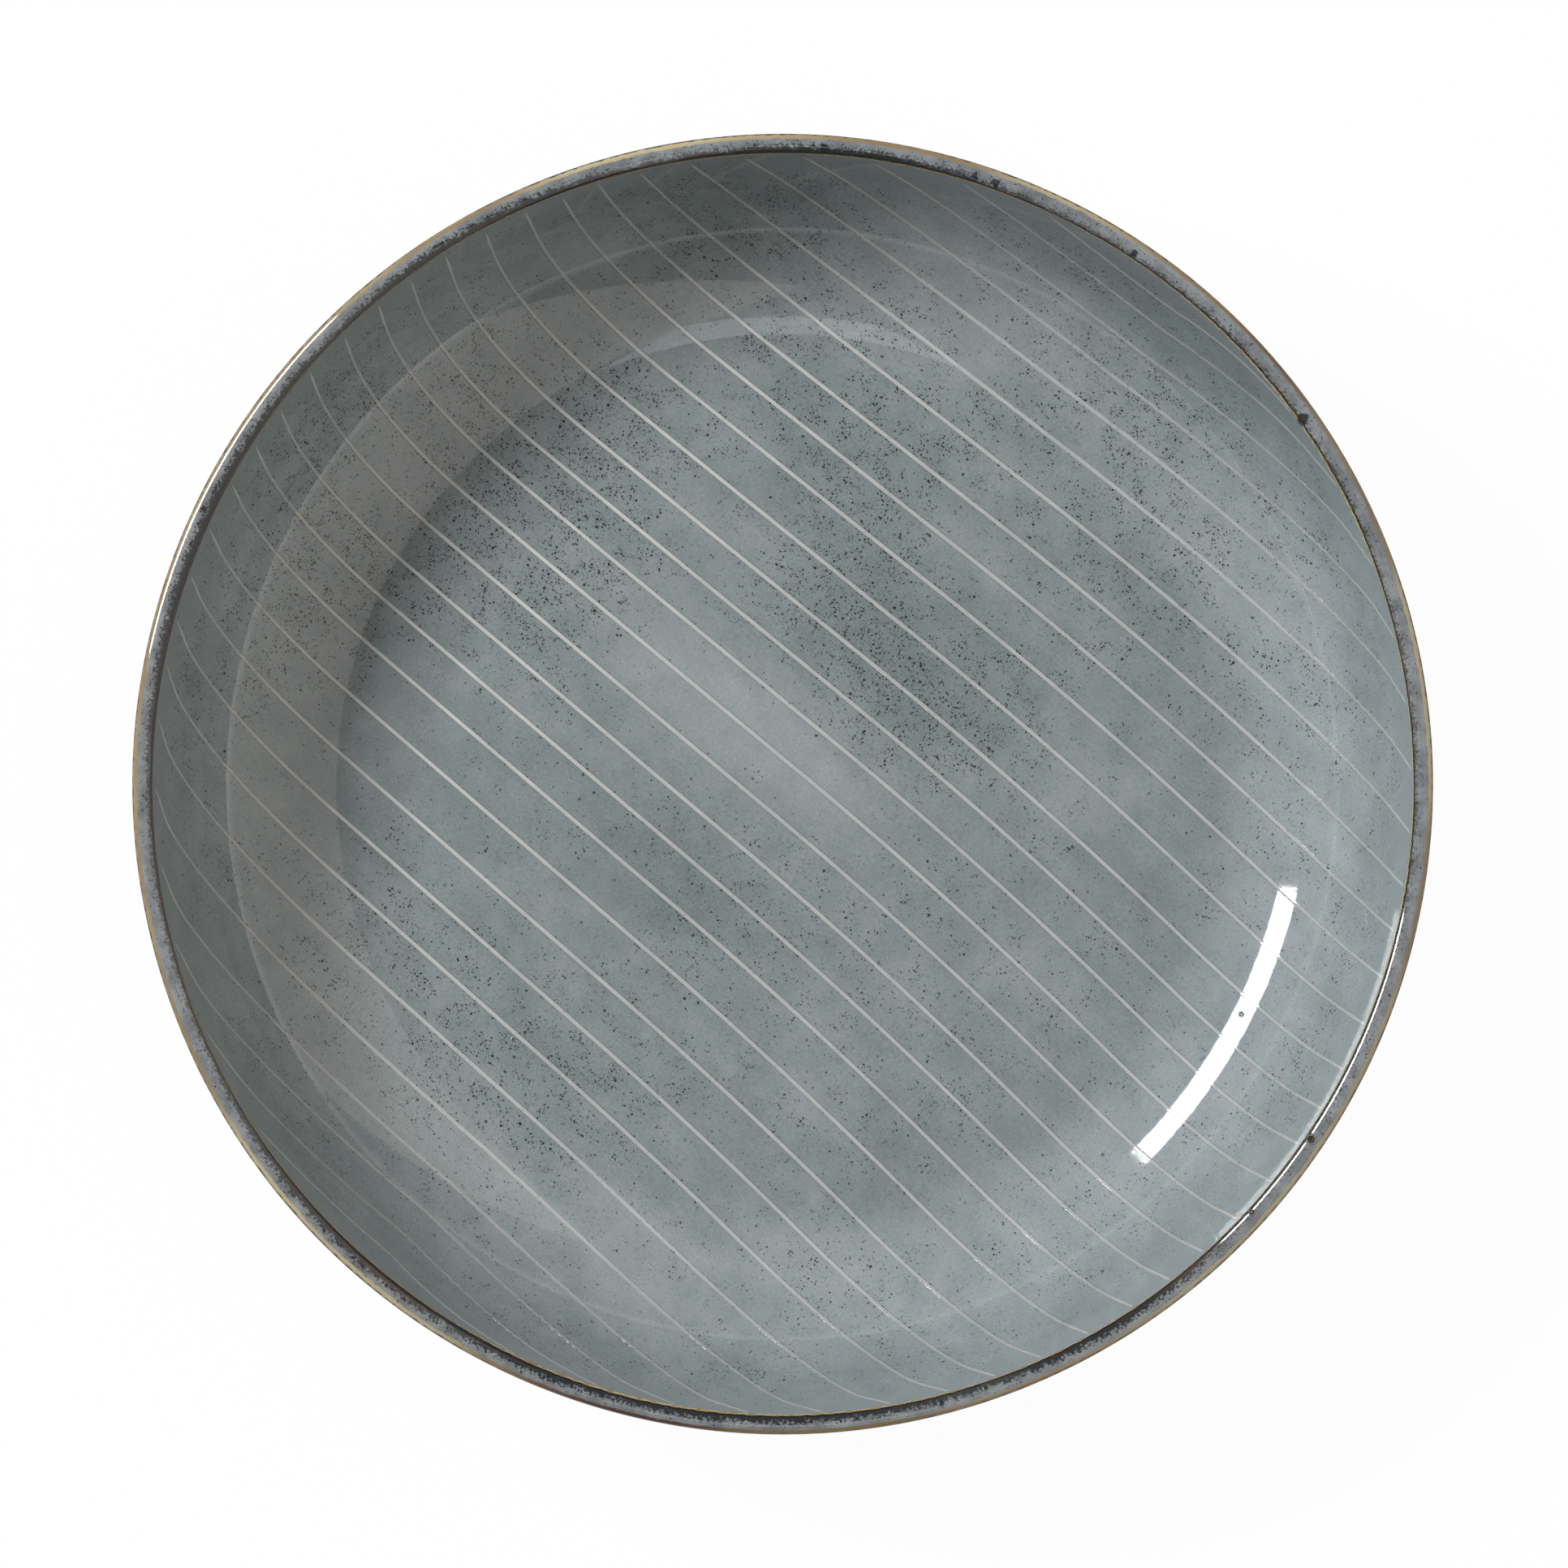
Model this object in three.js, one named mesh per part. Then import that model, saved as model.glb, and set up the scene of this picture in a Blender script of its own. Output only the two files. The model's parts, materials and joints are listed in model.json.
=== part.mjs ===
// A wide, shallow stoneware serving bowl: clay body, foot ring, glaze coats and trailed slip lines.
// Millimetres, +Z up. The origin is the centre of the circle that the foot stands on.
import * as THREE from 'three';

const radians = THREE.MathUtils.degToRad;

// Driving dimensions of the bowl
const RIM_DIAMETER = 340;
const BOWL_HEIGHT = 63;
const LIP_WIDTH = 5.3;
const LIP_RISE = 1.2;
const WALL_LEAN = radians(20);
const INSIDE_CORNER_RADIUS = 50;
const CORNER_THICKENING = 7;
const FLOOR_DISH_RADIUS = 3100;
const FLOOR_THICKNESS = 7.6;

// Driving dimensions of the foot ring
const FOOT_DIAMETER = 196;
const FOOT_WIDTH = 7;
const FOOT_HEIGHT = 6.5;
const FOOT_ROOT = 1.5;
const FOOT_BEVEL = 0.8;

// Driving dimensions of the glaze coats, and the gap kept between pieces that meet
const GLAZE_THICKNESS = 0.7;
const FUSE_GAP = 0.3;

// Driving dimensions of the slip lines
const LINE_COUNT = 29;
const LINE_EDGE_MARGIN = 15.5;
const LINE_OFFSET = 2.7;
const LINE_WIDTH = 1.3;
const LINE_END_WIDTH = 0.8;
const LINE_HEIGHT = 0.4;
const LINE_BEVEL = 0.2;
const LINE_END_DROP = 1.5;
const LINE_STEP = 14;
const LINE_BEARING = radians(-39.7);

// How the drawn lines stray from straight: they fan out and dip on the floor, and turn aside on the wall
const LINE_FAN = 0.0525;
const LEFT_DIP = 0.65;
const RIGHT_DIP = 11.4;
const LEFT_DRAW = { dip: LEFT_DIP, shift: radians(4.1), tuck: radians(13.8) };
const RIGHT_DRAW = { dip: RIGHT_DIP, shift: radians(-1.3), tuck: radians(7.8) };

// How the hand strays from the even pitch, in waves that turn and start by angles for each line
const SLOW_SWING = 5.1;
const MIDDLE_SWING = 3.35;
const QUICK_SWING = 0.8;
const HAND_WAVES = [
  { swing: SLOW_SWING, turn: radians(11.5), start: radians(30) },
  { swing: MIDDLE_SWING, turn: radians(20), start: radians(-173) },
  { swing: QUICK_SWING, turn: radians(80), start: radians(42) },
];

// Facets round the bowl and along each stretch of its section
const ROUND_FACETS = 60;
const FLOOR_FACETS = 3;
const CORNER_FACETS = 6;
const LIP_FACETS = 4;
const FOOT_ROOT_FACETS = 3;

// Share of the wall that a corner may take up
const CORNER_LIMIT = 0.95;

// Colours and roughness of the clay, the glaze coats and the slip
const STONEWARE = { color: '#b7a58c', roughness: 0.85 };
const BARE_FOOT = { color: '#a8937a', roughness: 0.9 };
const BLUE_GREY_GLAZE = { color: '#84908f', roughness: 0.12 };
const BROKEN_RIM_GLAZE = { color: '#8b8a84', roughness: 0.15 };
const PALE_SLIP = { color: '#b9b8b2', roughness: 0.2 };

const rimRadius = RIM_DIAMETER / 2;
const lipTopLevel = BOWL_HEIGHT - LIP_RISE;
const undersideLevel = FOOT_HEIGHT;
const floorLevel = undersideLevel + FLOOR_THICKNESS;
const claySink = GLAZE_THICKNESS + FUSE_GAP;

// Directions in the section: up along the wall, and square to it away from the hollow
const upWall = new THREE.Vector2(Math.sin(WALL_LEAN), Math.cos(WALL_LEAN));
const awayFromHollow = new THREE.Vector2(Math.cos(WALL_LEAN), -Math.sin(WALL_LEAN));

// Unit vector at an angle from straight down, turning outwards
const spoke = (angle) => new THREE.Vector2(Math.sin(angle), -Math.cos(angle));

// Evenly spaced values from one number to another
const spread = (from, to, steps) =>
  Array.from({ length: steps + 1 }, (_, i) => THREE.MathUtils.lerp(from, to, i / steps));

// Distance along a line, from start in direction, to its further crossing with a circle
function crossingDistance(start, direction, centre, radius) {
  const toStart = start.clone().sub(centre);
  const half = toStart.dot(direction);
  return -half + Math.sqrt(half * half - toStart.lengthSq() + radius * radius);
}

// The lip is a low arc over the top of the wall
const lipHalf = LIP_WIDTH / 2;
const lipRadius = (lipHalf * lipHalf + LIP_RISE * LIP_RISE) / (2 * LIP_RISE);
const lipCentre = new THREE.Vector2(rimRadius - lipHalf, BOWL_HEIGHT - lipRadius);

// One face of the bowl in section: a dished floor, a round corner and a leaning wall up to the lip.
// An offset moves every point of the face away from the hollow, square to the face.
class Face {
  constructor(wallTop, centreLevel, cornerRadius) {
    this.wallTop = wallTop;
    this.dishRadius = FLOOR_DISH_RADIUS + floorLevel - centreLevel;
    this.dishCentre = new THREE.Vector2(0, floorLevel + FLOOR_DISH_RADIUS);
    this.cornerEnd = Math.PI / 2 - WALL_LEAN;
    const wallLength = (wallTop.y - centreLevel) / Math.cos(WALL_LEAN);
    const largestCorner = (CORNER_LIMIT * wallLength) / Math.tan(this.cornerEnd / 2);
    this.cornerRadius = Math.min(cornerRadius, largestCorner);
    const start = wallTop.clone().addScaledVector(awayFromHollow, -this.cornerRadius);
    const downWall = upWall.clone().negate();
    const reach = this.dishRadius - this.cornerRadius;
    const drop = crossingDistance(start, downWall, this.dishCentre, reach);
    this.cornerCentre = start.addScaledVector(downWall, drop);
    const aside = this.cornerCentre.clone().sub(this.dishCentre);
    this.cornerStart = Math.atan2(aside.x, -aside.y);
  }

  onDish(angle, offset) {
    return this.dishCentre.clone().addScaledVector(spoke(angle), this.dishRadius + offset);
  }

  onCorner(angle, offset) {
    return this.cornerCentre.clone().addScaledVector(spoke(angle), this.cornerRadius + offset);
  }

  // Where the wall meets the lip; the lip's own surface sinks by the same amount
  arris(offset) {
    const start = this.wallTop.clone().addScaledVector(awayFromHollow, offset);
    const rise = crossingDistance(start, upWall, lipCentre, lipRadius - Math.abs(offset));
    return start.addScaledVector(upWall, rise);
  }

  // Points from the axis to just below the lip, stopping a given drop short of it
  points(offset, drop) {
    const dishAngles = spread(0, this.cornerStart, FLOOR_FACETS);
    const cornerAngles = spread(this.cornerStart, this.cornerEnd, CORNER_FACETS).slice(1);
    return [
      ...dishAngles.map((angle) => this.onDish(angle, offset)),
      ...cornerAngles.map((angle) => this.onCorner(angle, offset)),
      this.arris(offset).addScaledVector(upWall, -drop),
    ];
  }

  // Level of the face at a distance from the axis
  levelAt(radius, offset) {
    const dishEnd = this.onDish(this.cornerStart, offset).x;
    const wallStart = this.onCorner(this.cornerEnd, offset);
    if (radius <= dishEnd) {
      return this.dishCentre.y - Math.sqrt((this.dishRadius + offset) ** 2 - radius ** 2);
    }
    if (radius <= wallStart.x) {
      const aside = radius - this.cornerCentre.x;
      return this.cornerCentre.y - Math.sqrt((this.cornerRadius + offset) ** 2 - aside ** 2);
    }
    return wallStart.y + (radius - wallStart.x) / Math.tan(WALL_LEAN);
  }

  // Steepness of the finished face at a distance from the axis, as an angle from level
  steepnessAt(radius) {
    if (radius <= this.onDish(this.cornerStart, 0).x) {
      return Math.asin(radius / this.dishRadius);
    }
    const aside = (radius - this.cornerCentre.x) / this.cornerRadius;
    return Math.min(Math.asin(Math.min(aside, 1)), this.cornerEnd);
  }

  // Distance from the axis that is reached by going out along the finished face
  radiusAlong(distance) {
    const dishLength = this.dishRadius * this.cornerStart;
    const cornerLength = this.cornerRadius * (this.cornerEnd - this.cornerStart);
    if (distance <= dishLength) {
      return this.onDish(distance / this.dishRadius, 0).x;
    }
    if (distance <= dishLength + cornerLength) {
      return this.onCorner(this.cornerStart + (distance - dishLength) / this.cornerRadius, 0).x;
    }
    return this.onCorner(this.cornerEnd, 0).x + (distance - dishLength - cornerLength) * upWall.x;
  }

  // Length of the finished face from the axis to the lip
  length() {
    const wallStart = this.onCorner(this.cornerEnd, 0);
    const corner = this.cornerRadius * (this.cornerEnd - this.cornerStart);
    return this.dishRadius * this.cornerStart + corner + wallStart.distanceTo(this.arris(0));
  }
}

const insideTop = new THREE.Vector2(rimRadius - LIP_WIDTH, lipTopLevel);
const outsideTop = new THREE.Vector2(rimRadius, lipTopLevel);
const inside = new Face(insideTop, floorLevel, INSIDE_CORNER_RADIUS);
const outside = new Face(outsideTop, undersideLevel, inside.cornerRadius + CORNER_THICKENING);

// Points over the lip from its outer to its inner edge, sunk below its finished surface
function lipPoints(sink) {
  const angleOf = (point) => Math.atan2(point.x - lipCentre.x, point.y - lipCentre.y);
  const outer = angleOf(outside.arris(-sink));
  const inner = angleOf(inside.arris(sink));
  return spread(outer, inner, LIP_FACETS).map(
    (angle) =>
      new THREE.Vector2(
        lipCentre.x + (lipRadius - sink) * Math.sin(angle),
        lipCentre.y + (lipRadius - sink) * Math.cos(angle),
      ),
  );
}

// Points of the outside face from a given distance off the axis up to just below the lip
function outsidePoints(offset, startRadius) {
  const start = new THREE.Vector2(startRadius, outside.levelAt(startRadius, offset));
  return [start, ...outside.points(offset, FUSE_GAP).filter((point) => point.x > startRadius)];
}

// Points of the underside from the axis to a given distance off it
function undersidePoints(offset, endRadius) {
  const end = new THREE.Vector2(endRadius, outside.levelAt(endRadius, offset));
  return [...outside.points(offset, FUSE_GAP).filter((point) => point.x < endRadius), end];
}

// A named mesh with a material of its own; no part of the bowl is metal
function piece(name, geometry, look) {
  const mesh = new THREE.Mesh(geometry, new THREE.MeshStandardMaterial({ ...look, metalness: 0 }));
  mesh.name = name;
  return mesh;
}

// A solid turned about the bowl's axis; its section runs anticlockwise, axis on the left
function turned(name, section, look) {
  const geometry = new THREE.LatheGeometry(section, ROUND_FACETS);
  geometry.rotateX(Math.PI / 2);
  return piece(name, geometry, look);
}

const closed = (section) => [...section, section[0]];

function stonewareBody() {
  const section = [
    ...outside.points(-claySink, 0).slice(0, -1),
    ...lipPoints(claySink),
    ...inside.points(claySink, 0).slice(0, -1).reverse(),
  ];
  return turned('stoneware_body', section, STONEWARE);
}

const footOuter = FOOT_DIAMETER / 2;
const footInner = footOuter - FOOT_WIDTH;
const rootOuter = footOuter + FOOT_ROOT;
const rootInner = footInner - FOOT_ROOT;

function footRing() {
  const rootAt = (radius) => new THREE.Vector2(radius, outside.levelAt(radius, -GLAZE_THICKNESS));
  const section = [
    new THREE.Vector2(footInner + FOOT_BEVEL, 0),
    new THREE.Vector2(footOuter - FOOT_BEVEL, 0),
    new THREE.Vector2(footOuter, FOOT_BEVEL),
    ...spread(rootOuter, rootInner, FOOT_ROOT_FACETS).map(rootAt),
    new THREE.Vector2(footInner, FOOT_BEVEL),
  ];
  return turned('foot_ring', closed(section), BARE_FOOT);
}

function insideGlaze() {
  const bonded = inside.points(GLAZE_THICKNESS, FUSE_GAP);
  const finished = inside.points(0, FUSE_GAP).reverse();
  return turned('inside_glaze', [...bonded, ...finished], BLUE_GREY_GLAZE);
}

function rimGlaze() {
  const section = [...lipPoints(0), ...lipPoints(GLAZE_THICKNESS).reverse()];
  return turned('rim_glaze', closed(section), BROKEN_RIM_GLAZE);
}

function outsideGlaze() {
  const startRadius = rootOuter + FUSE_GAP;
  const finished = outsidePoints(0, startRadius);
  const bonded = outsidePoints(-GLAZE_THICKNESS, startRadius).reverse();
  return turned('outside_glaze', closed([...finished, ...bonded]), BLUE_GREY_GLAZE);
}

function undersideGlaze() {
  const endRadius = rootInner - FUSE_GAP;
  const finished = undersidePoints(0, endRadius);
  const bonded = undersidePoints(-GLAZE_THICKNESS, endRadius).reverse();
  return turned('underside_glaze', [...finished, ...bonded], BLUE_GREY_GLAZE);
}

// Level of the faceted inside face under a point, so that a line lies on the facets
const facetAngle = (2 * Math.PI) / ROUND_FACETS;
const facetPoints = inside.points(0, 0);
function facetLevel(place) {
  const angle = Math.atan2(place.y, place.x);
  const middle = (Math.floor(angle / facetAngle) + 0.5) * facetAngle;
  const radius = (place.length() * Math.cos(angle - middle)) / Math.cos(facetAngle / 2);
  const next = Math.max(1, facetPoints.findIndex((point) => point.x >= radius));
  const [a, b] = [facetPoints[next - 1], facetPoints[next]];
  return THREE.MathUtils.mapLinear(radius, a.x, b.x, a.y, b.y);
}

// Unit normal of the finished inside face at a point
function insideNormal(place) {
  const steepness = inside.steepnessAt(place.length());
  const angle = Math.atan2(place.y, place.x);
  return new THREE.Vector3(
    -Math.sin(steepness) * Math.cos(angle),
    -Math.sin(steepness) * Math.sin(angle),
    Math.cos(steepness),
  );
}

const lineEndRadius = insideTop.x - LINE_END_DROP * upWall.x;
const lineEndLevel = inside.levelAt(lineEndRadius, 0);
const along = new THREE.Vector2(Math.cos(LINE_BEARING), Math.sin(LINE_BEARING));
const across = new THREE.Vector2(-Math.sin(LINE_BEARING), Math.cos(LINE_BEARING));

// Distance across the inside face, along its surface, at which the hand draws a line; the middle one is 0
function drawnOffset(number) {
  const pitch = (2 * (inside.length() - LINE_EDGE_MARGIN)) / (LINE_COUNT - 1);
  const strays = HAND_WAVES.map(({ swing, turn, start }) => swing * Math.sin(turn * number + start));
  return strays.reduce((sum, stray) => sum + stray, LINE_OFFSET + pitch * number);
}

// Half of a line's path in plan, from its middle to its end on the rim; side is -1 for left and 1 for right
function halfPath(offset, draw, side) {
  const middle = Math.sign(offset) * inside.radiusAlong(Math.abs(offset));
  const chordAngle = Math.asin(middle / lineEndRadius);
  const tuck = draw.tuck * Math.sin(2 * chordAngle) * Math.sin(chordAngle) ** 2;
  const endAngle = chordAngle + draw.shift * Math.cos(chordAngle) - tuck;
  const endAlong = side * lineEndRadius * Math.cos(endAngle);
  const endAcross = lineEndRadius * Math.sin(endAngle);
  const middleLevel = inside.levelAt(Math.abs(middle), 0);
  const drift = (reach) => {
    const share = reach / insideTop.x;
    return LINE_FAN * middle * share - draw.dip * share * share;
  };
  const turnAside = endAcross - middle - drift(endAlong);
  const steps = Math.ceil(Math.abs(endAlong) / LINE_STEP);
  return spread(0, Math.PI / 2, steps).map((phase) => {
    const share = Math.sin(phase);
    const reach = endAlong * share;
    const chord = Math.hypot(reach, THREE.MathUtils.lerp(middle, endAcross, share));
    const climb = (inside.levelAt(chord, 0) - middleLevel) / (lineEndLevel - middleLevel);
    const aside = middle + drift(reach) + turnAside * climb;
    const place = new THREE.Vector2().addScaledVector(along, reach).addScaledVector(across, aside);
    const width = THREE.MathUtils.lerp(LINE_WIDTH, LINE_END_WIDTH, share * share);
    return { place: place.clampLength(0, lineEndRadius), width };
  });
}

// A low bead with a bevelled top that follows a path over the inside face
function beadGeometry(path) {
  const stations = path.map(({ place, width }) => ({
    seat: new THREE.Vector3(place.x, place.y, facetLevel(place)),
    normal: insideNormal(place),
    width,
  }));
  const positions = [];
  stations.forEach(({ seat, normal, width }, i) => {
    const before = stations[Math.max(i - 1, 0)].seat;
    const after = stations[Math.min(i + 1, stations.length - 1)].seat;
    const aside = normal.clone().cross(after.clone().sub(before)).normalize();
    const corner = (half, rise) => seat.clone().addScaledVector(aside, half).addScaledVector(normal, rise);
    const top = FUSE_GAP + LINE_HEIGHT;
    [
      corner(width / 2, FUSE_GAP),
      corner(width / 2 - LINE_BEVEL, top),
      corner(LINE_BEVEL - width / 2, top),
      corner(-width / 2, FUSE_GAP),
    ].forEach((point) => positions.push(point.x, point.y, point.z));
  });
  const sides = 4;
  const triangles = [];
  for (let i = 0; i < stations.length - 1; i++) {
    for (let k = 0; k < sides; k++) {
      const a = i * sides + k;
      const b = i * sides + ((k + 1) % sides);
      triangles.push(a, b, a + sides, b, b + sides, a + sides);
    }
  }
  const last = (stations.length - 1) * sides;
  triangles.push(0, 2, 1, 0, 3, 2, last, last + 1, last + 2, last, last + 2, last + 3);
  const geometry = new THREE.BufferGeometry();
  geometry.setAttribute('position', new THREE.Float32BufferAttribute(positions, 3));
  geometry.setIndex(triangles);
  geometry.computeVertexNormals();
  return geometry;
}

function slipLine(offset, index) {
  const left = halfPath(offset, LEFT_DRAW, -1).reverse();
  const right = halfPath(offset, RIGHT_DRAW, 1).slice(1);
  const name = `slip_line_${String(index + 1).padStart(2, '0')}`;
  return piece(name, beadGeometry([...left, ...right]), PALE_SLIP);
}

// All the lines, from the lower left of the bowl to the upper right
function slipLines() {
  const last = (LINE_COUNT - 1) / 2;
  return spread(-last, last, LINE_COUNT - 1).map(drawnOffset).map(slipLine);
}

const bowl = new THREE.Group();
bowl.name = 'serving_bowl';
bowl.add(stonewareBody(), footRing());
bowl.add(insideGlaze(), rimGlaze(), outsideGlaze(), undersideGlaze());
bowl.add(...slipLines());

export default bowl;
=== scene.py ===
"""A wide, shallow stoneware serving bowl, seen from straight above in soft studio light.

The clay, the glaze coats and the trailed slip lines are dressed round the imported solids. Metres, +Z up.
"""

import json
import logging
import math
from dataclasses import dataclass, field, replace
from enum import Enum
from typing import Callable, Optional, Sequence, Union

import bpy
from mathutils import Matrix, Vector

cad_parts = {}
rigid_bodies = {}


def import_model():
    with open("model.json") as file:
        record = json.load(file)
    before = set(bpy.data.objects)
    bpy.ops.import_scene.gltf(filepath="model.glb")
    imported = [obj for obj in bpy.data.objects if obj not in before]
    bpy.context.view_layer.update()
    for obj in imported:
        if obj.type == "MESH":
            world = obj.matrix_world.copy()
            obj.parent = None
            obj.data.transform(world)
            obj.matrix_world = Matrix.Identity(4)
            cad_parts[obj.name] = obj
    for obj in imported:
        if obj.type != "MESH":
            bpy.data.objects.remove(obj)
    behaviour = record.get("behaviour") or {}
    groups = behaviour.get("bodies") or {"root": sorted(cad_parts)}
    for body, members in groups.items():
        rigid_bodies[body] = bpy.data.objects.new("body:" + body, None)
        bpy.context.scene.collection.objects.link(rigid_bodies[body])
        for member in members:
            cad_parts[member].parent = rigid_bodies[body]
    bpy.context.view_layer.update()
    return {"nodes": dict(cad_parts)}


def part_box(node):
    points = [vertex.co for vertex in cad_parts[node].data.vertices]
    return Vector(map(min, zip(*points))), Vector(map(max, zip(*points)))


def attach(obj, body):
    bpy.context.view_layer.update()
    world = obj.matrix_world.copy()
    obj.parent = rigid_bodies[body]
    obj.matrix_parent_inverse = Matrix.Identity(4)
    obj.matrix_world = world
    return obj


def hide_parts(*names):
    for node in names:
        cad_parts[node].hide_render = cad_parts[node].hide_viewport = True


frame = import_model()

MM = 0.001
BODY = "root"
LIP_RIPPLE = 1.5e-6
LINE_BEARING = math.radians(-39.7)
ON_AXIS = 1e-9
LOG = logging.getLogger("serving_bowl")

Point2 = tuple[float, float]
Colour = tuple[float, float, float, float]
Socket = bpy.types.NodeSocket
Feed = Union[Socket, float, Sequence[float]]


def shade(red: int, green: int, blue: int) -> Colour:
    """Turns a colour as seen on a screen, 0 to 255, into the shader's linear colour."""
    def linear(value: int) -> float:
        share = value / 255
        return share / 12.92 if share <= 0.04045 else ((share + 0.055) / 1.055) ** 2.4
    return linear(red), linear(green), linear(blue), 1.0


def spread(first: float, last: float, steps: int) -> list[float]:
    """Gives evenly spaced values from first to last, both included."""
    return [first + (last - first) * i / steps for i in range(steps + 1)]


class Side(Enum):
    """The two halves of a drawn line, seen from its middle."""

    LEFT = -1
    RIGHT = 1


@dataclass(frozen=True)
class BowlSizes:
    """Sizes of the bowl's section, with the rim, the height and the foot taken from the frame."""

    rim_radius: float
    height: float
    root_radius: float
    lip_width: float = 5.3 * MM
    lip_rise: float = 1.2 * MM
    wall_lean: float = math.radians(20)
    inside_corner: float = 50 * MM
    corner_thickening: float = 7 * MM
    dish_radius: float = 3100 * MM
    floor_thickness: float = 7.6 * MM
    foot_height: float = 6.5 * MM
    foot_width: float = 7 * MM
    foot_root: float = 1.5 * MM
    foot_bevel: float = 0.8 * MM
    coat: float = 0.6 * MM

    @classmethod
    def from_frame(cls) -> "BowlSizes":
        """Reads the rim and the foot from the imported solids."""
        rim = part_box("rim_glaze")[1]
        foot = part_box("foot_ring")[1]
        return cls(rim_radius=rim.x, height=rim.z, root_radius=foot.x)

    @property
    def floor_level(self) -> float:
        """Level of the inside floor at its middle."""
        return self.foot_height + self.floor_thickness

    @property
    def lip_level(self) -> float:
        """Level of the two edges of the lip."""
        return self.height - self.lip_rise

    @property
    def up_wall(self) -> Vector:
        """Direction up along the wall, in the section."""
        return Vector((math.sin(self.wall_lean), math.cos(self.wall_lean)))

    @property
    def off_hollow(self) -> Vector:
        """Direction square to the wall, away from the hollow."""
        return Vector((math.cos(self.wall_lean), -math.sin(self.wall_lean)))

    @property
    def lip_radius(self) -> float:
        """Radius of the arc over the lip."""
        half = self.lip_width / 2
        return (half * half + self.lip_rise ** 2) / (2 * self.lip_rise)

    @property
    def lip_centre(self) -> Vector:
        """Centre of the arc over the lip, in the section."""
        return Vector((self.rim_radius - self.lip_width / 2, self.height - self.lip_radius))


class Face:
    """One face of the bowl in section: a dished floor, a round corner and a leaning wall."""

    def __init__(self, sizes: BowlSizes, top_radius: float, centre_level: float, corner: float) -> None:
        """Finds the round corner that joins the floor to the wall.

        Args:
            sizes: the bowl's sizes.
            top_radius: distance from the axis to the top of the wall.
            centre_level: level of the face at the axis.
            corner: radius of the round corner.
        """
        self.sizes = sizes
        self.top = Vector((top_radius, sizes.lip_level))
        self.corner = corner
        self.dish = sizes.dish_radius + sizes.floor_level - centre_level
        self.dish_centre = Vector((0.0, centre_level + self.dish))
        self.corner_end = math.pi / 2 - sizes.wall_lean
        start = self.top - sizes.off_hollow * corner
        aside = start - self.dish_centre
        down = -sizes.up_wall
        half = aside.dot(down)
        drop = -half + math.sqrt(half * half - aside.length_squared + (self.dish - corner) ** 2)
        self.corner_centre = start + down * drop
        lean = self.corner_centre - self.dish_centre
        self.corner_start = math.atan2(lean.x, -lean.y)

    def on_dish(self, angle: float, offset: float = 0.0) -> Vector:
        """Gives a point of the dished floor at an angle from straight down."""
        return self.dish_centre + Vector((math.sin(angle), -math.cos(angle))) * (self.dish + offset)

    def on_corner(self, angle: float, offset: float = 0.0) -> Vector:
        """Gives a point of the round corner at an angle from straight down."""
        return self.corner_centre + Vector((math.sin(angle), -math.cos(angle))) * (self.corner + offset)

    def points(self, offset: float, drop: float, steps: tuple[int, int, int]) -> list[Vector]:
        """Gives points from the axis up to a given drop below the top of the wall.

        Args:
            offset: distance from the finished face, away from the hollow.
            drop: distance down the wall at which the points stop.
            steps: steps along the floor, the corner and the wall.

        Returns:
            The points of the face in section.
        """
        floor = [self.on_dish(a, offset) for a in spread(0.0, self.corner_start, steps[0])]
        turn = [self.on_corner(a, offset) for a in spread(self.corner_start, self.corner_end, steps[1])]
        end = self.top + self.sizes.off_hollow * offset - self.sizes.up_wall * drop
        wall = [turn[-1].lerp(end, share) for share in spread(0.0, 1.0, steps[2])]
        return floor + turn[1:] + wall[1:]

    def level(self, radius: float, offset: float = 0.0) -> float:
        """Gives the level of the face at a distance from the axis."""
        wall = self.on_corner(self.corner_end, offset)
        if radius <= self.on_dish(self.corner_start, offset).x:
            return self.dish_centre.y - math.sqrt((self.dish + offset) ** 2 - radius ** 2)
        if radius <= wall.x:
            aside = radius - self.corner_centre.x
            return self.corner_centre.y - math.sqrt((self.corner + offset) ** 2 - aside ** 2)
        return wall.y + (radius - wall.x) / math.tan(self.sizes.wall_lean)

    def steepness(self, radius: float) -> float:
        """Gives the slope of the face, as an angle from level."""
        if radius <= self.on_dish(self.corner_start).x:
            return math.asin(radius / self.dish)
        return min(math.asin(min((radius - self.corner_centre.x) / self.corner, 1.0)), self.corner_end)

    def radius_along(self, distance: float) -> float:
        """Gives the distance from the axis reached by going out along the face."""
        floor = self.dish * self.corner_start
        turn = self.corner * (self.corner_end - self.corner_start)
        if distance <= floor:
            return self.on_dish(distance / self.dish).x
        if distance <= floor + turn:
            return self.on_corner(self.corner_start + (distance - floor) / self.corner).x
        return self.on_corner(self.corner_end).x + (distance - floor - turn) * self.sizes.up_wall.x

    def length(self) -> float:
        """Gives the length of the face from the axis to the top of the wall."""
        turn = self.corner * (self.corner_end - self.corner_start)
        wall = (self.top - self.on_corner(self.corner_end)).length
        return self.dish * self.corner_start + turn + wall

    def normal(self, place: Vector) -> Vector:
        """Gives the unit normal, into the hollow, at a place in plan."""
        slope = self.steepness(place.length)
        angle = math.atan2(place.y, place.x)
        level = -math.sin(slope)
        return Vector((level * math.cos(angle), level * math.sin(angle), math.cos(slope)))


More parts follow.
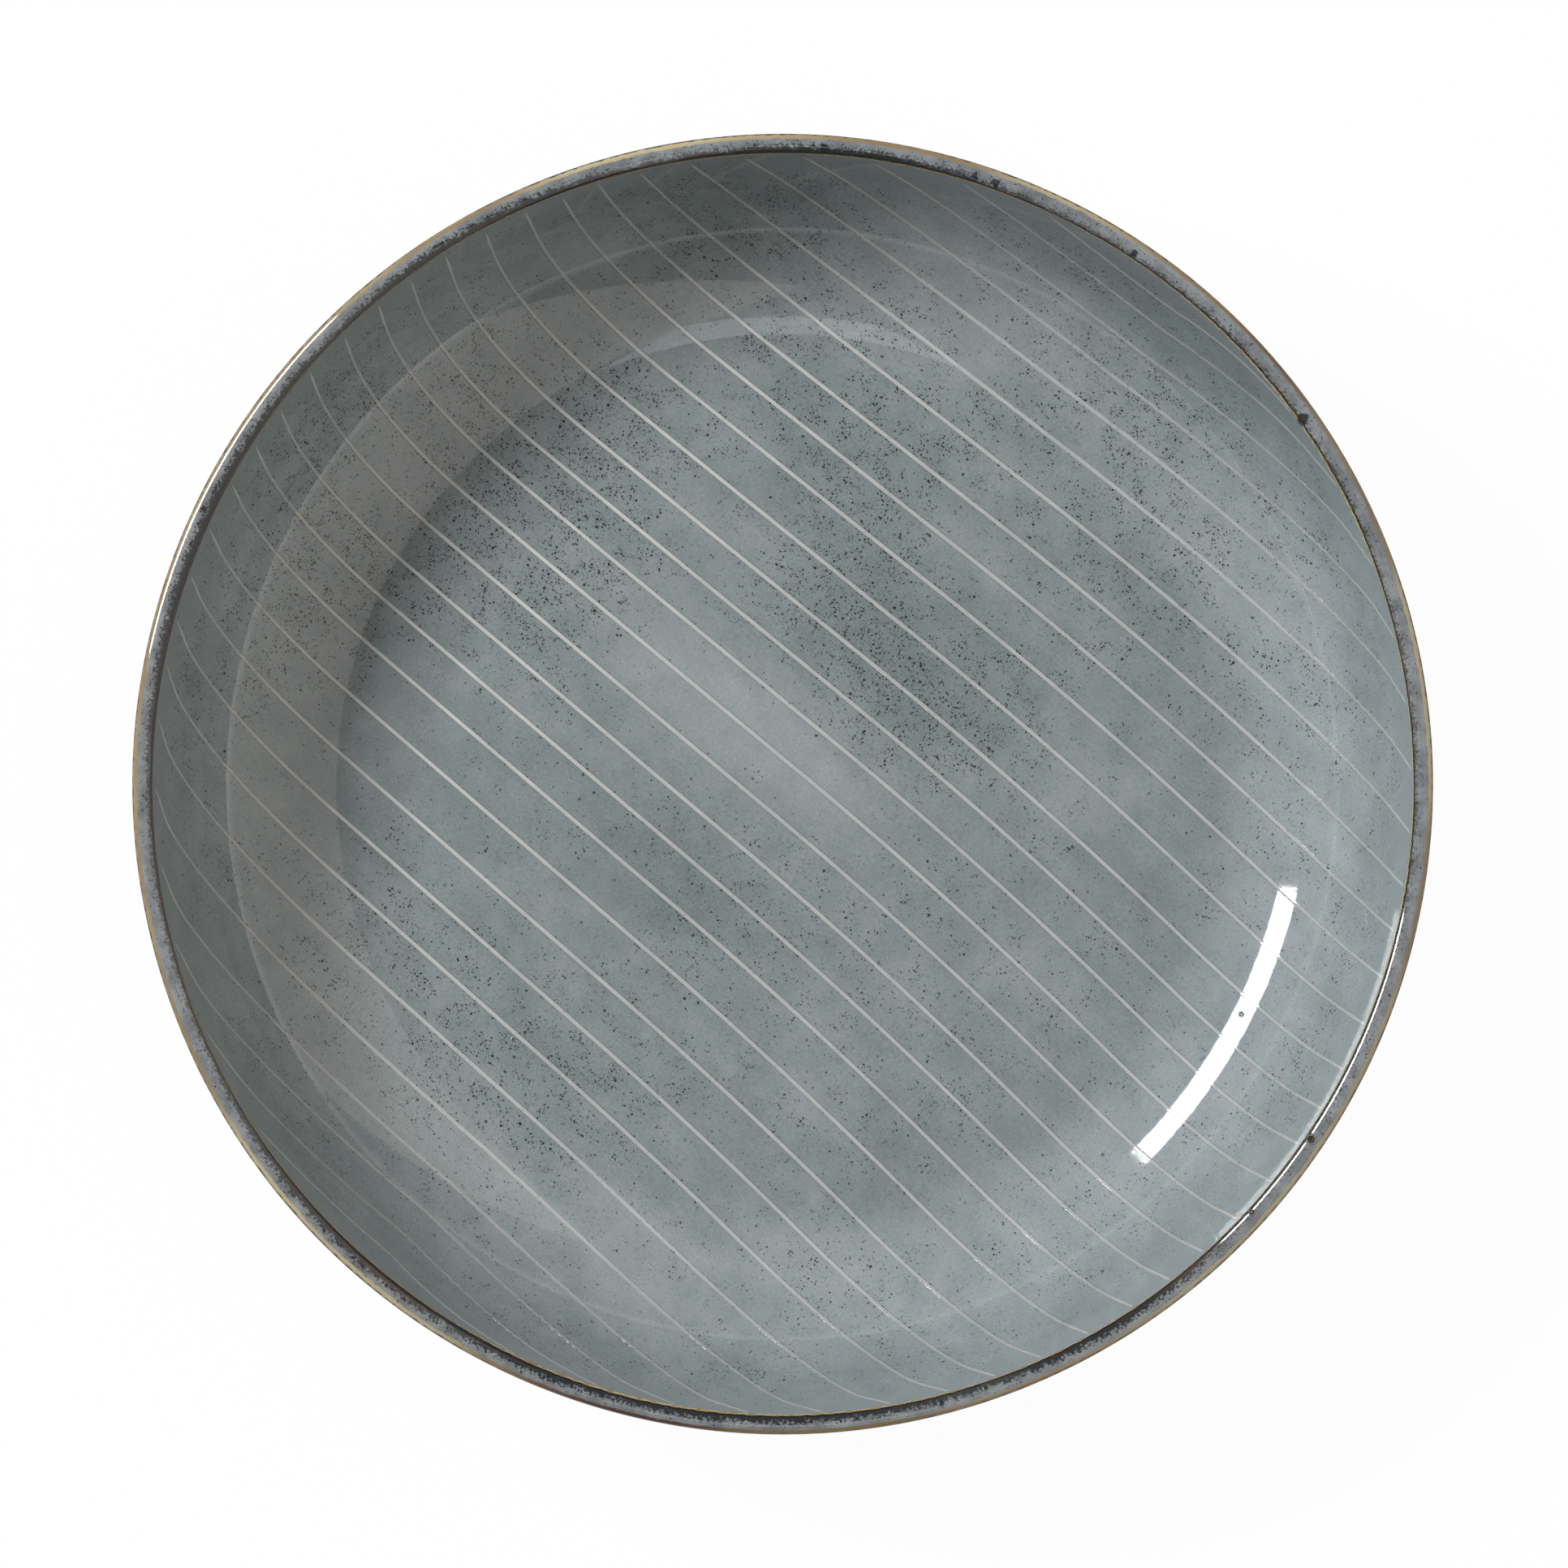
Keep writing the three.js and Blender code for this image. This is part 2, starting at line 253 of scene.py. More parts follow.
class NodeBench:
    """Adds and joins nodes in one tree, with sockets or plain values as inputs."""

    MIX_FACTOR, MIX_A, MIX_B, MIX_RESULT = 0, 6, 7, 2

    def __init__(self, tree: bpy.types.NodeTree) -> None:
        """Keeps the tree and starts it empty."""
        self.tree = tree
        tree.nodes.clear()

    def add(self, kind: str, feeds: Optional[dict] = None, **settings: object) -> bpy.types.Node:
        """Adds a node.

        Args:
            kind: the node's type name.
            feeds: input name or number to the socket or value that feeds it.
            settings: the node's own properties.

        Returns:
            The new node.
        """
        node = self.tree.nodes.new(kind)
        for name, value in settings.items():
            setattr(node, name, value)
        for key, feed in (feeds or {}).items():
            self.feed(node.inputs[key], feed)
        return node

    def feed(self, socket: Socket, feed: Feed) -> None:
        """Links a socket to an input, or sets the input's value."""
        if isinstance(feed, bpy.types.NodeSocket):
            self.tree.links.new(feed, socket)
        else:
            socket.default_value = feed

    def math(self, operation: str, first: Feed, second: Feed = 0.0, third: Feed = 0.0) -> Socket:
        """Joins two or three numbers with a sum, product or other operation."""
        return self.add("ShaderNodeMath", {0: first, 1: second, 2: third}, operation=operation).outputs[0]

    def times(self, first: Feed, second: Feed) -> Socket:
        """Multiplies two numbers."""
        return self.math("MULTIPLY", first, second)

    def plus(self, first: Feed, second: Feed) -> Socket:
        """Adds two numbers."""
        return self.math("ADD", first, second)

    def minus(self, first: Feed, second: Feed) -> Socket:
        """Takes the second number from the first."""
        return self.math("SUBTRACT", first, second)

    def vector(self, operation: str, first: Feed, second: Feed = (0.0, 0.0, 0.0)) -> Socket:
        """Joins two vectors; their distance, or the length of the first, is a number."""
        node = self.add("ShaderNodeVectorMath", {0: first, 1: second}, operation=operation)
        return node.outputs["Value" if operation in ("DISTANCE", "LENGTH") else "Vector"]

    def scaled(self, vector: Feed, factor: Feed) -> Socket:
        """Multiplies a vector by a number."""
        return self.add("ShaderNodeVectorMath", {0: vector, "Scale": factor}, operation="SCALE").outputs[0]

    def ease(self, value: Feed, start: Feed, end: Feed, low: float = 0.0, high: float = 1.0) -> Socket:
        """Maps a value smoothly from a start-to-end range to a low-to-high one."""
        feeds = {"Value": value, "From Min": start, "From Max": end, "To Min": low, "To Max": high}
        return self.add("ShaderNodeMapRange", feeds, interpolation_type="SMOOTHSTEP").outputs["Result"]

    def blend(self, factor: Feed, first: Feed, second: Feed, mode: str = "MIX") -> Socket:
        """Mixes two colours."""
        feeds = {self.MIX_FACTOR: factor, self.MIX_A: first, self.MIX_B: second}
        node = self.add("ShaderNodeMix", feeds, data_type="RGBA", blend_type=mode)
        return node.outputs[self.MIX_RESULT]

    def noise(self, vector: Feed, scale: Feed, detail: float = 2.0, rough: float = 0.5,
              output: str = "Fac") -> Socket:
        """Adds a noise texture and gives its value, or its colour."""
        feeds = {"Vector": vector, "Scale": scale, "Detail": detail, "Roughness": rough}
        return self.add("ShaderNodeTexNoise", feeds).outputs[output]

    def stretch(self, vector: Feed, scale: Sequence[float], turn: float = 0.0) -> Socket:
        """Scales a place and turns it about the bowl's axis."""
        feeds = {"Vector": vector, "Rotation": (0.0, 0.0, turn), "Scale": scale}
        return self.add("ShaderNodeMapping", feeds).outputs[0]


class SharedEffects:
    """Shader node groups that several finishes use, each built once."""

    VALUE, VECTOR = "NodeSocketFloat", "NodeSocketVector"

    def __init__(self) -> None:
        """Builds the groups."""
        self.specks = self.group("iron_specks", self.build_specks, {
            "Place": self.VECTOR, "Cell Scale": self.VALUE, "Size": self.VALUE, "Density": self.VALUE,
        }, {"Specks": self.VALUE})
        self.mottle = self.group("reactive_mottle", self.build_mottle, {
            "Place": self.VECTOR, "Band Scale": self.VALUE, "Cloud Scale": self.VALUE,
        }, {"Tone": self.VALUE, "Grain": self.VALUE})
        self.patch = self.group("soft_patch", self.build_patch, {
            "Place": self.VECTOR, "Centre": self.VECTOR, "Reach": self.VECTOR,
        }, {"Share": self.VALUE})
        self.pit = self.group("glaze_pit", self.build_pit, {
            "Place": self.VECTOR, "Centre": self.VECTOR, "Radius": self.VALUE,
        }, {"Hollow": self.VALUE, "Dark": self.VALUE})
        self.peel = self.group("glaze_peel", self.build_peel, {
            "Place": self.VECTOR, "Ripple Scale": self.VALUE,
        }, {"Height": self.VALUE})

    def group(self, name: str, build: Callable[[NodeBench, bpy.types.Node], dict[str, Socket]],
              takes: dict[str, str], gives: dict[str, str]) -> bpy.types.NodeTree:
        """Makes a shader node group.

        Args:
            name: the group's name.
            build: adds the group's nodes and returns the socket for each output.
            takes: input name to socket type.
            gives: output name to socket type.

        Returns:
            The finished group.
        """
        tree = bpy.data.node_groups.new(name, "ShaderNodeTree")
        for label, kind in takes.items():
            tree.interface.new_socket(name=label, in_out="INPUT", socket_type=kind)
        for label, kind in gives.items():
            tree.interface.new_socket(name=label, in_out="OUTPUT", socket_type=kind)
        bench = NodeBench(tree)
        results = build(bench, bench.add("NodeGroupInput"))
        bench.add("NodeGroupOutput", results)
        return tree

    def place(self, bench: NodeBench, tree: bpy.types.NodeTree, feeds: dict) -> bpy.types.Node:
        """Places a group in another tree with its own values."""
        node = bench.add("ShaderNodeGroup")
        node.node_tree = tree
        for key, feed in feeds.items():
            bench.feed(node.inputs[key], feed)
        return node

    def build_specks(self, bench: NodeBench, given: bpy.types.Node) -> dict[str, Socket]:
        """Scatters ragged dark specks, of many sizes, one to a cell at most."""
        ragged = bench.noise(given.outputs["Place"], 2600.0, 2.0, 0.6, output="Color")
        push = bench.vector("SUBTRACT", ragged, (0.5, 0.5, 0.5))
        warped = bench.vector("ADD", given.outputs["Place"], bench.scaled(push, 0.6 * MM))
        cells = bench.add("ShaderNodeTexVoronoi", {
            "Vector": warped, "Scale": given.outputs["Cell Scale"], "Randomness": 1.0,
        }, feature="F1")
        chance = bench.add("ShaderNodeSeparateColor", {"Color": cells.outputs["Color"]})
        spread_of_size = bench.ease(chance.outputs["Green"], 0.0, 1.0, 0.5, 1.3)
        reach = bench.times(spread_of_size, given.outputs["Size"])
        core = bench.times(reach, 0.5)
        dot = bench.ease(cells.outputs["Distance"], reach, core)
        present = bench.math("LESS_THAN", chance.outputs["Red"], given.outputs["Density"])
        return {"Specks": bench.times(dot, present)}

    def build_mottle(self, bench: NodeBench, given: bpy.types.Node) -> dict[str, Socket]:
        """Makes soft bands along the drawn lines, clouds, and a fine grain, each about 0."""
        long_way = bench.stretch(given.outputs["Place"], (0.35, 1.0, 0.6))
        bands = bench.noise(long_way, given.outputs["Band Scale"], 3.0, 0.5)
        clouds = bench.noise(given.outputs["Place"], given.outputs["Cloud Scale"], 4.0, 0.55)
        grain = bench.noise(given.outputs["Place"], 1500.0, 2.0, 0.6)
        tone = bench.minus(bench.plus(bands, clouds), 1.0)
        return {"Tone": tone, "Grain": bench.minus(grain, 0.5)}

    def build_patch(self, bench: NodeBench, given: bpy.types.Node) -> dict[str, Socket]:
        """Makes a soft oval patch that fades out to its reach."""
        aside = bench.vector("SUBTRACT", given.outputs["Place"], given.outputs["Centre"])
        far = bench.vector("LENGTH", bench.vector("DIVIDE", aside, given.outputs["Reach"]))
        return {"Share": bench.ease(far, 1.0, 0.0)}

    def build_pit(self, bench: NodeBench, given: bpy.types.Node) -> dict[str, Socket]:
        """Makes a small burst bubble: a raised edge round a dark hollow. In a pit the dark is partly darker
        glaze and partly painted shade in the hollow; a blotch uses it as its own colour.
        """
        far = bench.vector("DISTANCE", given.outputs["Place"], given.outputs["Centre"])
        share = bench.math("DIVIDE", far, given.outputs["Radius"])
        bowl = bench.ease(share, 0.75, 0.2)
        edge = bench.times(bench.ease(share, 0.6, 0.85), bench.ease(share, 1.25, 0.9))
        hollow = bench.minus(bench.times(edge, 0.4), bowl)
        return {"Hollow": hollow, "Dark": bench.ease(share, 0.95, 0.55)}

    def build_peel(self, bench: NodeBench, given: bpy.types.Node) -> dict[str, Socket]:
        """Makes the faint waviness of a melted glaze surface."""
        broad = bench.noise(given.outputs["Place"], given.outputs["Ripple Scale"], 1.0, 0.5)
        fine_scale = bench.times(given.outputs["Ripple Scale"], 3.0)
        fine = bench.noise(given.outputs["Place"], fine_scale, 1.0, 0.5)
        return {"Height": bench.plus(broad, bench.times(fine, 0.15))}


@dataclass(frozen=True)
class Patch:
    """A paler or darker patch on the inside glaze, placed along and across the drawn lines; most are the
    glaze's own tone, and some are painted shade.
    """

    along: float
    across: float
    long: float
    wide: float
    tone: float
    specks: float = 0.0


@dataclass(frozen=True)
class Pit:
    """A burst bubble in the glaze, by its place in plan and its radius."""

    x: float
    y: float
    radius: float


@dataclass(frozen=True)
class SpeckLayer:
    """Iron specks of one size: their cell, their reach in it, how often they fall and how dark they are."""

    cell: float
    size: float
    share: float
    depth: float


INSIDE_TONE_AND_SHADE_PATCHES: tuple[Patch, ...] = (
    Patch(-30 * MM, 5 * MM, 62 * MM, 26 * MM, 0.4, -0.16),
    Patch(14 * MM, 4 * MM, 32 * MM, 15 * MM, 0.2, -0.1),
    Patch(-20 * MM, 53 * MM, 48 * MM, 36 * MM, -0.08, 0.65),
    Patch(17 * MM, 45 * MM, 48 * MM, 32 * MM, -0.1, 0.75),
    Patch(1 * MM, -43 * MM, 42 * MM, 28 * MM, -0.22, 0.12),
    Patch(58 * MM, 50 * MM, 24 * MM, 22 * MM, 0.14),
    Patch(84 * MM, 12 * MM, 28 * MM, 24 * MM, 0.12),
    Patch(61 * MM, -61 * MM, 22 * MM, 28 * MM, 0.14),
    Patch(-95 * MM, 15 * MM, 45 * MM, 62 * MM, 0.0, 0.85),
    Patch(-50 * MM, 88 * MM, 55 * MM, 40 * MM, 0.0, 0.4),
    Patch(20 * MM, 122 * MM, 85 * MM, 50 * MM, 0.0, 0.35),
    Patch(-28 * MM, -105 * MM, 65 * MM, 40 * MM, 0.0, 0.5),
    # Painted shade: these two darken the upper wall towards +X +Y and towards +Y; their specks are the
    # glaze's own.
    Patch(15 * MM, 164 * MM, 95 * MM, 38 * MM, -0.32, 0.2),
    Patch(-105 * MM, 112 * MM, 65 * MM, 50 * MM, -0.2, 0.35),
    Patch(-135 * MM, -20 * MM, 45 * MM, 85 * MM, 0.05, 0.6),
)

INSIDE_PITS: tuple[Pit, ...] = (
    Pit(122.9 * MM, -61.7 * MM, 0.75 * MM),
    Pit(85.9 * MM, -99.5 * MM, 0.6 * MM),
    Pit(84.8 * MM, -129.1 * MM, 0.6 * MM),
    Pit(-72.4 * MM, -68.8 * MM, 0.7 * MM),
    Pit(-75.9 * MM, -81.1 * MM, 0.6 * MM),
    Pit(-63.3 * MM, -93.3 * MM, 0.7 * MM),
    Pit(-60.0 * MM, -96.8 * MM, 0.8 * MM),
)


@dataclass(frozen=True)
class ReactiveGlaze:
    """Blue-grey reactive glaze with mottled bands and iron specks."""

    effects: SharedEffects
    bearing: float = LINE_BEARING
    dark: Colour = shade(97, 107, 109)
    middle: Colour = shade(126, 135, 137)
    pale: Colour = shade(151, 158, 161)
    speck: Colour = shade(40, 45, 44)
    band_scale: float = 60.0
    cloud_scale: float = 110.0
    mottle_depth: float = 0.55
    grain_depth: float = 0.7
    crowd: float = 0.16
    drift_scale: float = 34.0
    clump_scale: float = 210.0
    patch_level: float = 20 * MM
    patch_depth: float = 200 * MM
    roughness: float = 0.05
    ior: float = 1.52
    ripple_scale: float = 430.0
    ripple: float = 0.7e-5
    layers: tuple[SpeckLayer, ...] = (
        SpeckLayer(0.5 * MM, 0.35, 1.0, 0.85),
        SpeckLayer(0.8 * MM, 0.38, 0.85, 1.0),
        SpeckLayer(1.8 * MM, 0.23, 0.6, 1.0),
    )

    def place(self, bench: NodeBench) -> Socket:
        """Gives the place on the bowl, turned so that the first axis runs along the drawn lines."""
        at = bench.add("ShaderNodeTexCoord").outputs["Object"]
        return bench.stretch(at, (1.0, 1.0, 1.0), -self.bearing)

    def colour(self, bench: NodeBench, place: Socket, patches: Sequence[Patch] = (),
               calm: Feed = 0.0, level_tone: Feed = 0.5) -> Socket:
        """Builds the glaze's colour.

        Args:
            bench: the material's nodes.
            place: the place on the bowl, along the drawn lines.
            patches: paler and darker patches, of the glaze's own tone and of painted shade.
            calm: share by which mottle and specks die away, as near the rim.
            level_tone: the tone that the mottle strays from, 0 for dark and 1 for pale.

        Returns:
            The colour socket.
        """
        mottle = self.effects.place(bench, self.effects.mottle, {
            "Place": place, "Band Scale": self.band_scale, "Cloud Scale": self.cloud_scale,
        })
        crowd: Feed = self.crowd
        for patch in patches:
            share = self.effects.place(bench, self.effects.patch, {
                "Place": place, "Centre": (patch.along, patch.across, self.patch_level),
                "Reach": (patch.long, patch.wide, self.patch_depth),
            }).outputs["Share"]
            level_tone = bench.math("MULTIPLY_ADD", share, patch.tone, third=level_tone)
            if patch.specks:
                crowd = bench.math("MULTIPLY_ADD", share, patch.specks, third=crowd)
        stray = bench.times(mottle.outputs["Tone"], self.mottle_depth)
        stray = bench.math("MULTIPLY_ADD", mottle.outputs["Grain"], self.grain_depth, third=stray)
        steady = bench.minus(1.0, calm)
        tone = bench.math("MULTIPLY_ADD", stray, steady, third=level_tone)
        ramp = bench.add("ShaderNodeValToRGB", {"Fac": tone})
        stops = ramp.color_ramp.elements
        stops[0].color, stops[1].color = self.dark, self.pale
        stops.new(0.5).color = self.middle
        specks = self.specks(bench, place, bench.times(crowd, steady))
        return bench.blend(specks, ramp.outputs["Color"], self.speck)

    def specks(self, bench: NodeBench, place: Socket, crowd: Feed) -> Socket:
        """Gives the share of iron speck: fine, middling and large, drifting and clumped."""
        drift = bench.ease(bench.noise(place, self.drift_scale, 3.0, 0.6), 0.32, 0.68, 0.3, 1.7)
        clump = bench.ease(bench.noise(place, self.clump_scale, 2.0, 0.6), 0.42, 0.66, 0.3, 2.6)
        crowd = bench.times(bench.times(crowd, drift), clump)
        strong = bench.ease(crowd, 0.04, 0.5, 0.66, 1.0)
        total: Feed = 0.0
        for layer in self.layers:
            dots = self.effects.place(bench, self.effects.specks, {
                "Place": place, "Cell Scale": 1 / layer.cell, "Size": layer.size,
                "Density": bench.times(crowd, layer.share),
            }).outputs["Specks"]
            total = bench.math("MAXIMUM", total, bench.times(dots, layer.depth))
        return bench.times(total, strong)

    def pits(self, bench: NodeBench, pits: Sequence[Pit]) -> tuple[Socket, Socket]:
        """Gives the height and the darkness of burst bubbles, each placed in plan; the darkness is partly
        darker glaze and partly painted shade in their hollows.
        """
        at = bench.add("ShaderNodeTexCoord").outputs["Object"]
        plan = bench.stretch(at, (1.0, 1.0, 0.0))
        height: Feed = 0.0
        dark: Feed = 0.0
        for pit in pits:
            made = self.effects.place(bench, self.effects.pit, {
                "Place": plan, "Centre": (pit.x, pit.y, 0.0), "Radius": pit.radius,
            }).outputs
            height = bench.math("MULTIPLY_ADD", made["Hollow"], pit.radius, third=height)
            dark = bench.math("MAXIMUM", dark, made["Dark"])
        return height, dark

    def surface(self, bench: NodeBench, place: Socket, relief: Optional[Socket] = None) -> Socket:
        """Gives the normal of the softly rippled gloss, over a relief in metres if there is one."""
        waves = {"Place": place, "Ripple Scale": self.ripple_scale}
        peel = self.effects.place(bench, self.effects.peel, waves)
        feeds = {"Height": peel.outputs["Height"], "Distance": self.ripple, "Strength": 1.0}
        if relief is not None:
            carved = bench.add("ShaderNodeBump", {"Height": relief, "Distance": 1.0, "Strength": 1.0})
            feeds["Normal"] = carved.outputs["Normal"]
        return bench.add("ShaderNodeBump", feeds).outputs["Normal"]

    def finish(self, bench: NodeBench, colour: Socket, normal: Socket) -> None:
        """Ends the material in a glossy shader."""
        shader = bench.add("ShaderNodeBsdfPrincipled", {
            "Base Color": colour, "Normal": normal, "Roughness": self.roughness, "IOR": self.ior,
        })
        bench.add("ShaderNodeOutputMaterial", {"Surface": shader.outputs[0]})


def new_material(name: str) -> tuple[bpy.types.Material, NodeBench]:
    """Makes an empty node material and the bench for its tree."""
    material = bpy.data.materials.new(name)
    material.use_nodes = True
    return material, NodeBench(material.node_tree)


@dataclass(frozen=True)
class CoatFinish:
    """The reactive glaze on the inside, calm below the lip."""

    glaze: ReactiveGlaze
    name: str = "blue_grey_glaze_inside"
    calm_from: float = 49 * MM
    calm_to: float = 60 * MM
    calm_share: float = 0.85
    # The patches hold the glaze's own tone and, on the upper wall, painted shade.
    patches: tuple[Patch, ...] = INSIDE_TONE_AND_SHADE_PATCHES
    pits: tuple[Pit, ...] = INSIDE_PITS
    # The pit's dark colour is partly darker glaze and partly painted shade in its hollow.
    pit_depth: float = 0.35
    pit_dark: float = 0.7
    pit_colour: Colour = shade(58, 62, 62)
    floor_tone: float = 0.48
    turn_tone: float = 0.7
    wall_tone: float = 0.5
    turn_rise: Point2 = (111 * MM, 130 * MM)
    turn_fall: Point2 = (145 * MM, 158 * MM)

    def tone(self, bench: NodeBench, place: Socket) -> Socket:
        """Gives the glaze's tone, paler over the turn from floor to wall."""
        radius = bench.vector("LENGTH", bench.stretch(place, (1.0, 1.0, 0.0)))
        rise = bench.ease(radius, *self.turn_rise, self.floor_tone, self.turn_tone)
        fall = bench.ease(radius, *self.turn_fall, 0.0, self.wall_tone - self.turn_tone)
        return bench.plus(rise, fall)

    def base(self, bench: NodeBench) -> tuple[Socket, Socket]:
        """Gives the place and the glaze colour, for this coat and for what is drawn on it."""
        place = self.glaze.place(bench)
        level = bench.add("ShaderNodeSeparateXYZ", {"Vector": place}).outputs["Z"]
        calm = bench.ease(level, self.calm_from, self.calm_to, 0.0, self.calm_share)
        return place, self.glaze.colour(bench, place, self.patches, calm, self.tone(bench, place))

    def material(self) -> bpy.types.Material:
        """Builds the material."""
        material, bench = new_material(self.name)
        place, colour = self.base(bench)
        height, dark = self.glaze.pits(bench, self.pits)
        # Darkens each pit: partly darker glaze, partly painted shade in the hollow.
        colour = bench.blend(bench.times(dark, self.pit_dark), colour, self.pit_colour)
        relief = bench.times(height, self.pit_depth)
        self.glaze.finish(bench, colour, self.glaze.surface(bench, place, relief))
        return material


@dataclass(frozen=True)
class OutsideFinish:
    """The reactive glaze on the outer wall and the underside, breaking to tan under the lip."""

    glaze: ReactiveGlaze
    name: str = "blue_grey_glaze_outside"
    tan: Colour = shade(138, 112, 78)
    break_from: float = 58.5 * MM
    break_to: float = 62 * MM
    ragged_scale: float = 160.0
    ragged_swing: float = 2.4 * MM

    def material(self) -> bpy.types.Material:
        """Builds the material."""
        material, bench = new_material(self.name)
        place = self.glaze.place(bench)
        level = bench.add("ShaderNodeSeparateXYZ", {"Vector": place}).outputs["Z"]
        ragged = bench.noise(place, self.ragged_scale, 3.0, 0.6)
        edge = bench.plus(level, bench.times(ragged, self.ragged_swing))
        lift = self.ragged_swing / 2
        worn = bench.ease(edge, self.break_from + lift, self.break_to + lift)
        colour = bench.blend(worn, self.glaze.colour(bench, place), self.tan)
        self.glaze.finish(bench, colour, self.glaze.surface(bench, place))
        return material


@dataclass(frozen=True)
class RimMark:
    """A pit or blotch on the lip: bearing in degrees from +X, share of the lip's width, and radius."""

    bearing: float
    across: float
    radius: float


@dataclass(frozen=True)
class Stretch:
    """A stretch of the lip: the bearing of its middle in degrees from +X, and its reach each way."""

    bearing: float
    reach: float


@dataclass(frozen=True)
class RimFinish:
    """The glaze over the lip: tan on its edges, dark where it pools, blue-grey and specked on the crown."""

    glaze: ReactiveGlaze
    sizes: BowlSizes
    name: str = "broken_rim_glaze"
    attribute: str = "lip"
    crown: Colour = shade(134, 139, 142)
    crown_dark: Colour = shade(106, 111, 114)
    pool: Colour = shade(38, 39, 40)
    pool_brown: Colour = shade(66, 48, 38)
    cream: Colour = shade(178, 166, 130)
    tan: Colour = shade(136, 116, 82)
    taupe: Colour = shade(70, 60, 52)
    brown: Colour = shade(78, 54, 38)
    edge: Colour = shade(38, 28, 23)
    pit_depth: float = 0.5
    # The pit's darkening is partly darker glaze and partly painted shade in its hollow.
    pit_dark: float = 0.92
    blotch_dark: float = 0.9
    line_dark: float = 0.9
    dull_share: float = 0.95
    slow_scale: float = 11.0
    quick_scale: float = 420.0
    scallop_scale: float = 330.0
    cloud_scale: float = 170.0
    dust_scale: float = 1300.0
    tear_scale: float = 700.0
    tear: float = 3 * MM
    speck_drift: float = 60.0
    speck_cells: tuple[Point2, ...] = ((0.5 * MM, 0.32), (0.95 * MM, 0.3))
    speck_share: float = 0.8
    speck_dark: float = 0.85
    pool_depth: Point2 = (0.15, 0.24)
    pools: tuple[Stretch, ...] = (
        Stretch(-92, 130 * MM), Stretch(-60, 70 * MM), Stretch(-112, 80 * MM), Stretch(-133, 85 * MM),
        Stretch(155, 110 * MM), Stretch(120, 80 * MM), Stretch(86, 75 * MM),
    )
    dull: tuple[Stretch, ...] = (Stretch(165, 190 * MM),)
    pits: tuple[RimMark, ...] = (
        RimMark(-33.9, 0.28, 1.35 * MM), RimMark(-42.4, 0.2, 0.75 * MM), RimMark(-48.9, 0.3, 0.5 * MM),
        RimMark(-59.4, 0.35, 0.5 * MM), RimMark(-71.4, 0.27, 0.75 * MM), RimMark(-75.6, 0.42, 0.95 * MM),
        RimMark(-87.4, 0.3, 0.65 * MM), RimMark(-114.0, 0.6, 0.5 * MM), RimMark(-19.2, 0.55, 0.45 * MM),
    )
    blotches: tuple[RimMark, ...] = (
        RimMark(86.2, 0.3, 1.7 * MM), RimMark(35.0, 0.22, 2.0 * MM), RimMark(154.5, 0.5, 1.1 * MM),
        RimMark(70.5, 0.3, 1.5 * MM), RimMark(72.5, 0.35, 1.0 * MM), RimMark(56.5, 0.3, 1.2 * MM),
    )

    def spot(self, mark: RimMark) -> Pit:
        """Turns a mark on the lip into a place in plan."""
        radius = self.sizes.rim_radius + (mark.across - 1) * self.sizes.lip_width
        angle = math.radians(mark.bearing)
        return Pit(radius * math.cos(angle), radius * math.sin(angle), mark.radius)

    def along_rim(self, bench: NodeBench, at: Socket, stretches: Sequence[Stretch]) -> Socket:
        """Gives a share that rises to 1 on each stretch of the lip."""
        total: Feed = 0.0
        for stretch in stretches:
            middle = self.spot(RimMark(stretch.bearing, 0.5, 0.0))
            share = self.glaze.effects.place(bench, self.glaze.effects.patch, {
                "Place": at, "Centre": (middle.x, middle.y, self.sizes.height), "Reach": (stretch.reach,) * 3,
            }).outputs["Share"]
            total = bench.math("MAXIMUM", total, share)
        return total

    def specks(self, bench: NodeBench, at: Socket, lip: Socket) -> Socket:
        """Gives the dark specks of the crown, which thin out towards the outer edge."""
        room = bench.times(bench.ease(lip, 0.02, 0.2), bench.ease(lip, 0.9, 0.45))
        drift = bench.ease(bench.noise(at, self.speck_drift, 3.0, 0.6), 0.35, 0.65, 0.25, 1.0)
        density = bench.times(room, drift)
        total: Feed = 0.0
        for cell, size in self.speck_cells:
            dots = self.glaze.effects.place(bench, self.glaze.effects.specks, {
                "Place": at, "Cell Scale": 1 / cell, "Size": size,
                "Density": bench.times(density, self.speck_share),
            }).outputs["Specks"]
            total = bench.math("MAXIMUM", total, dots)
        return bench.times(total, self.speck_dark)

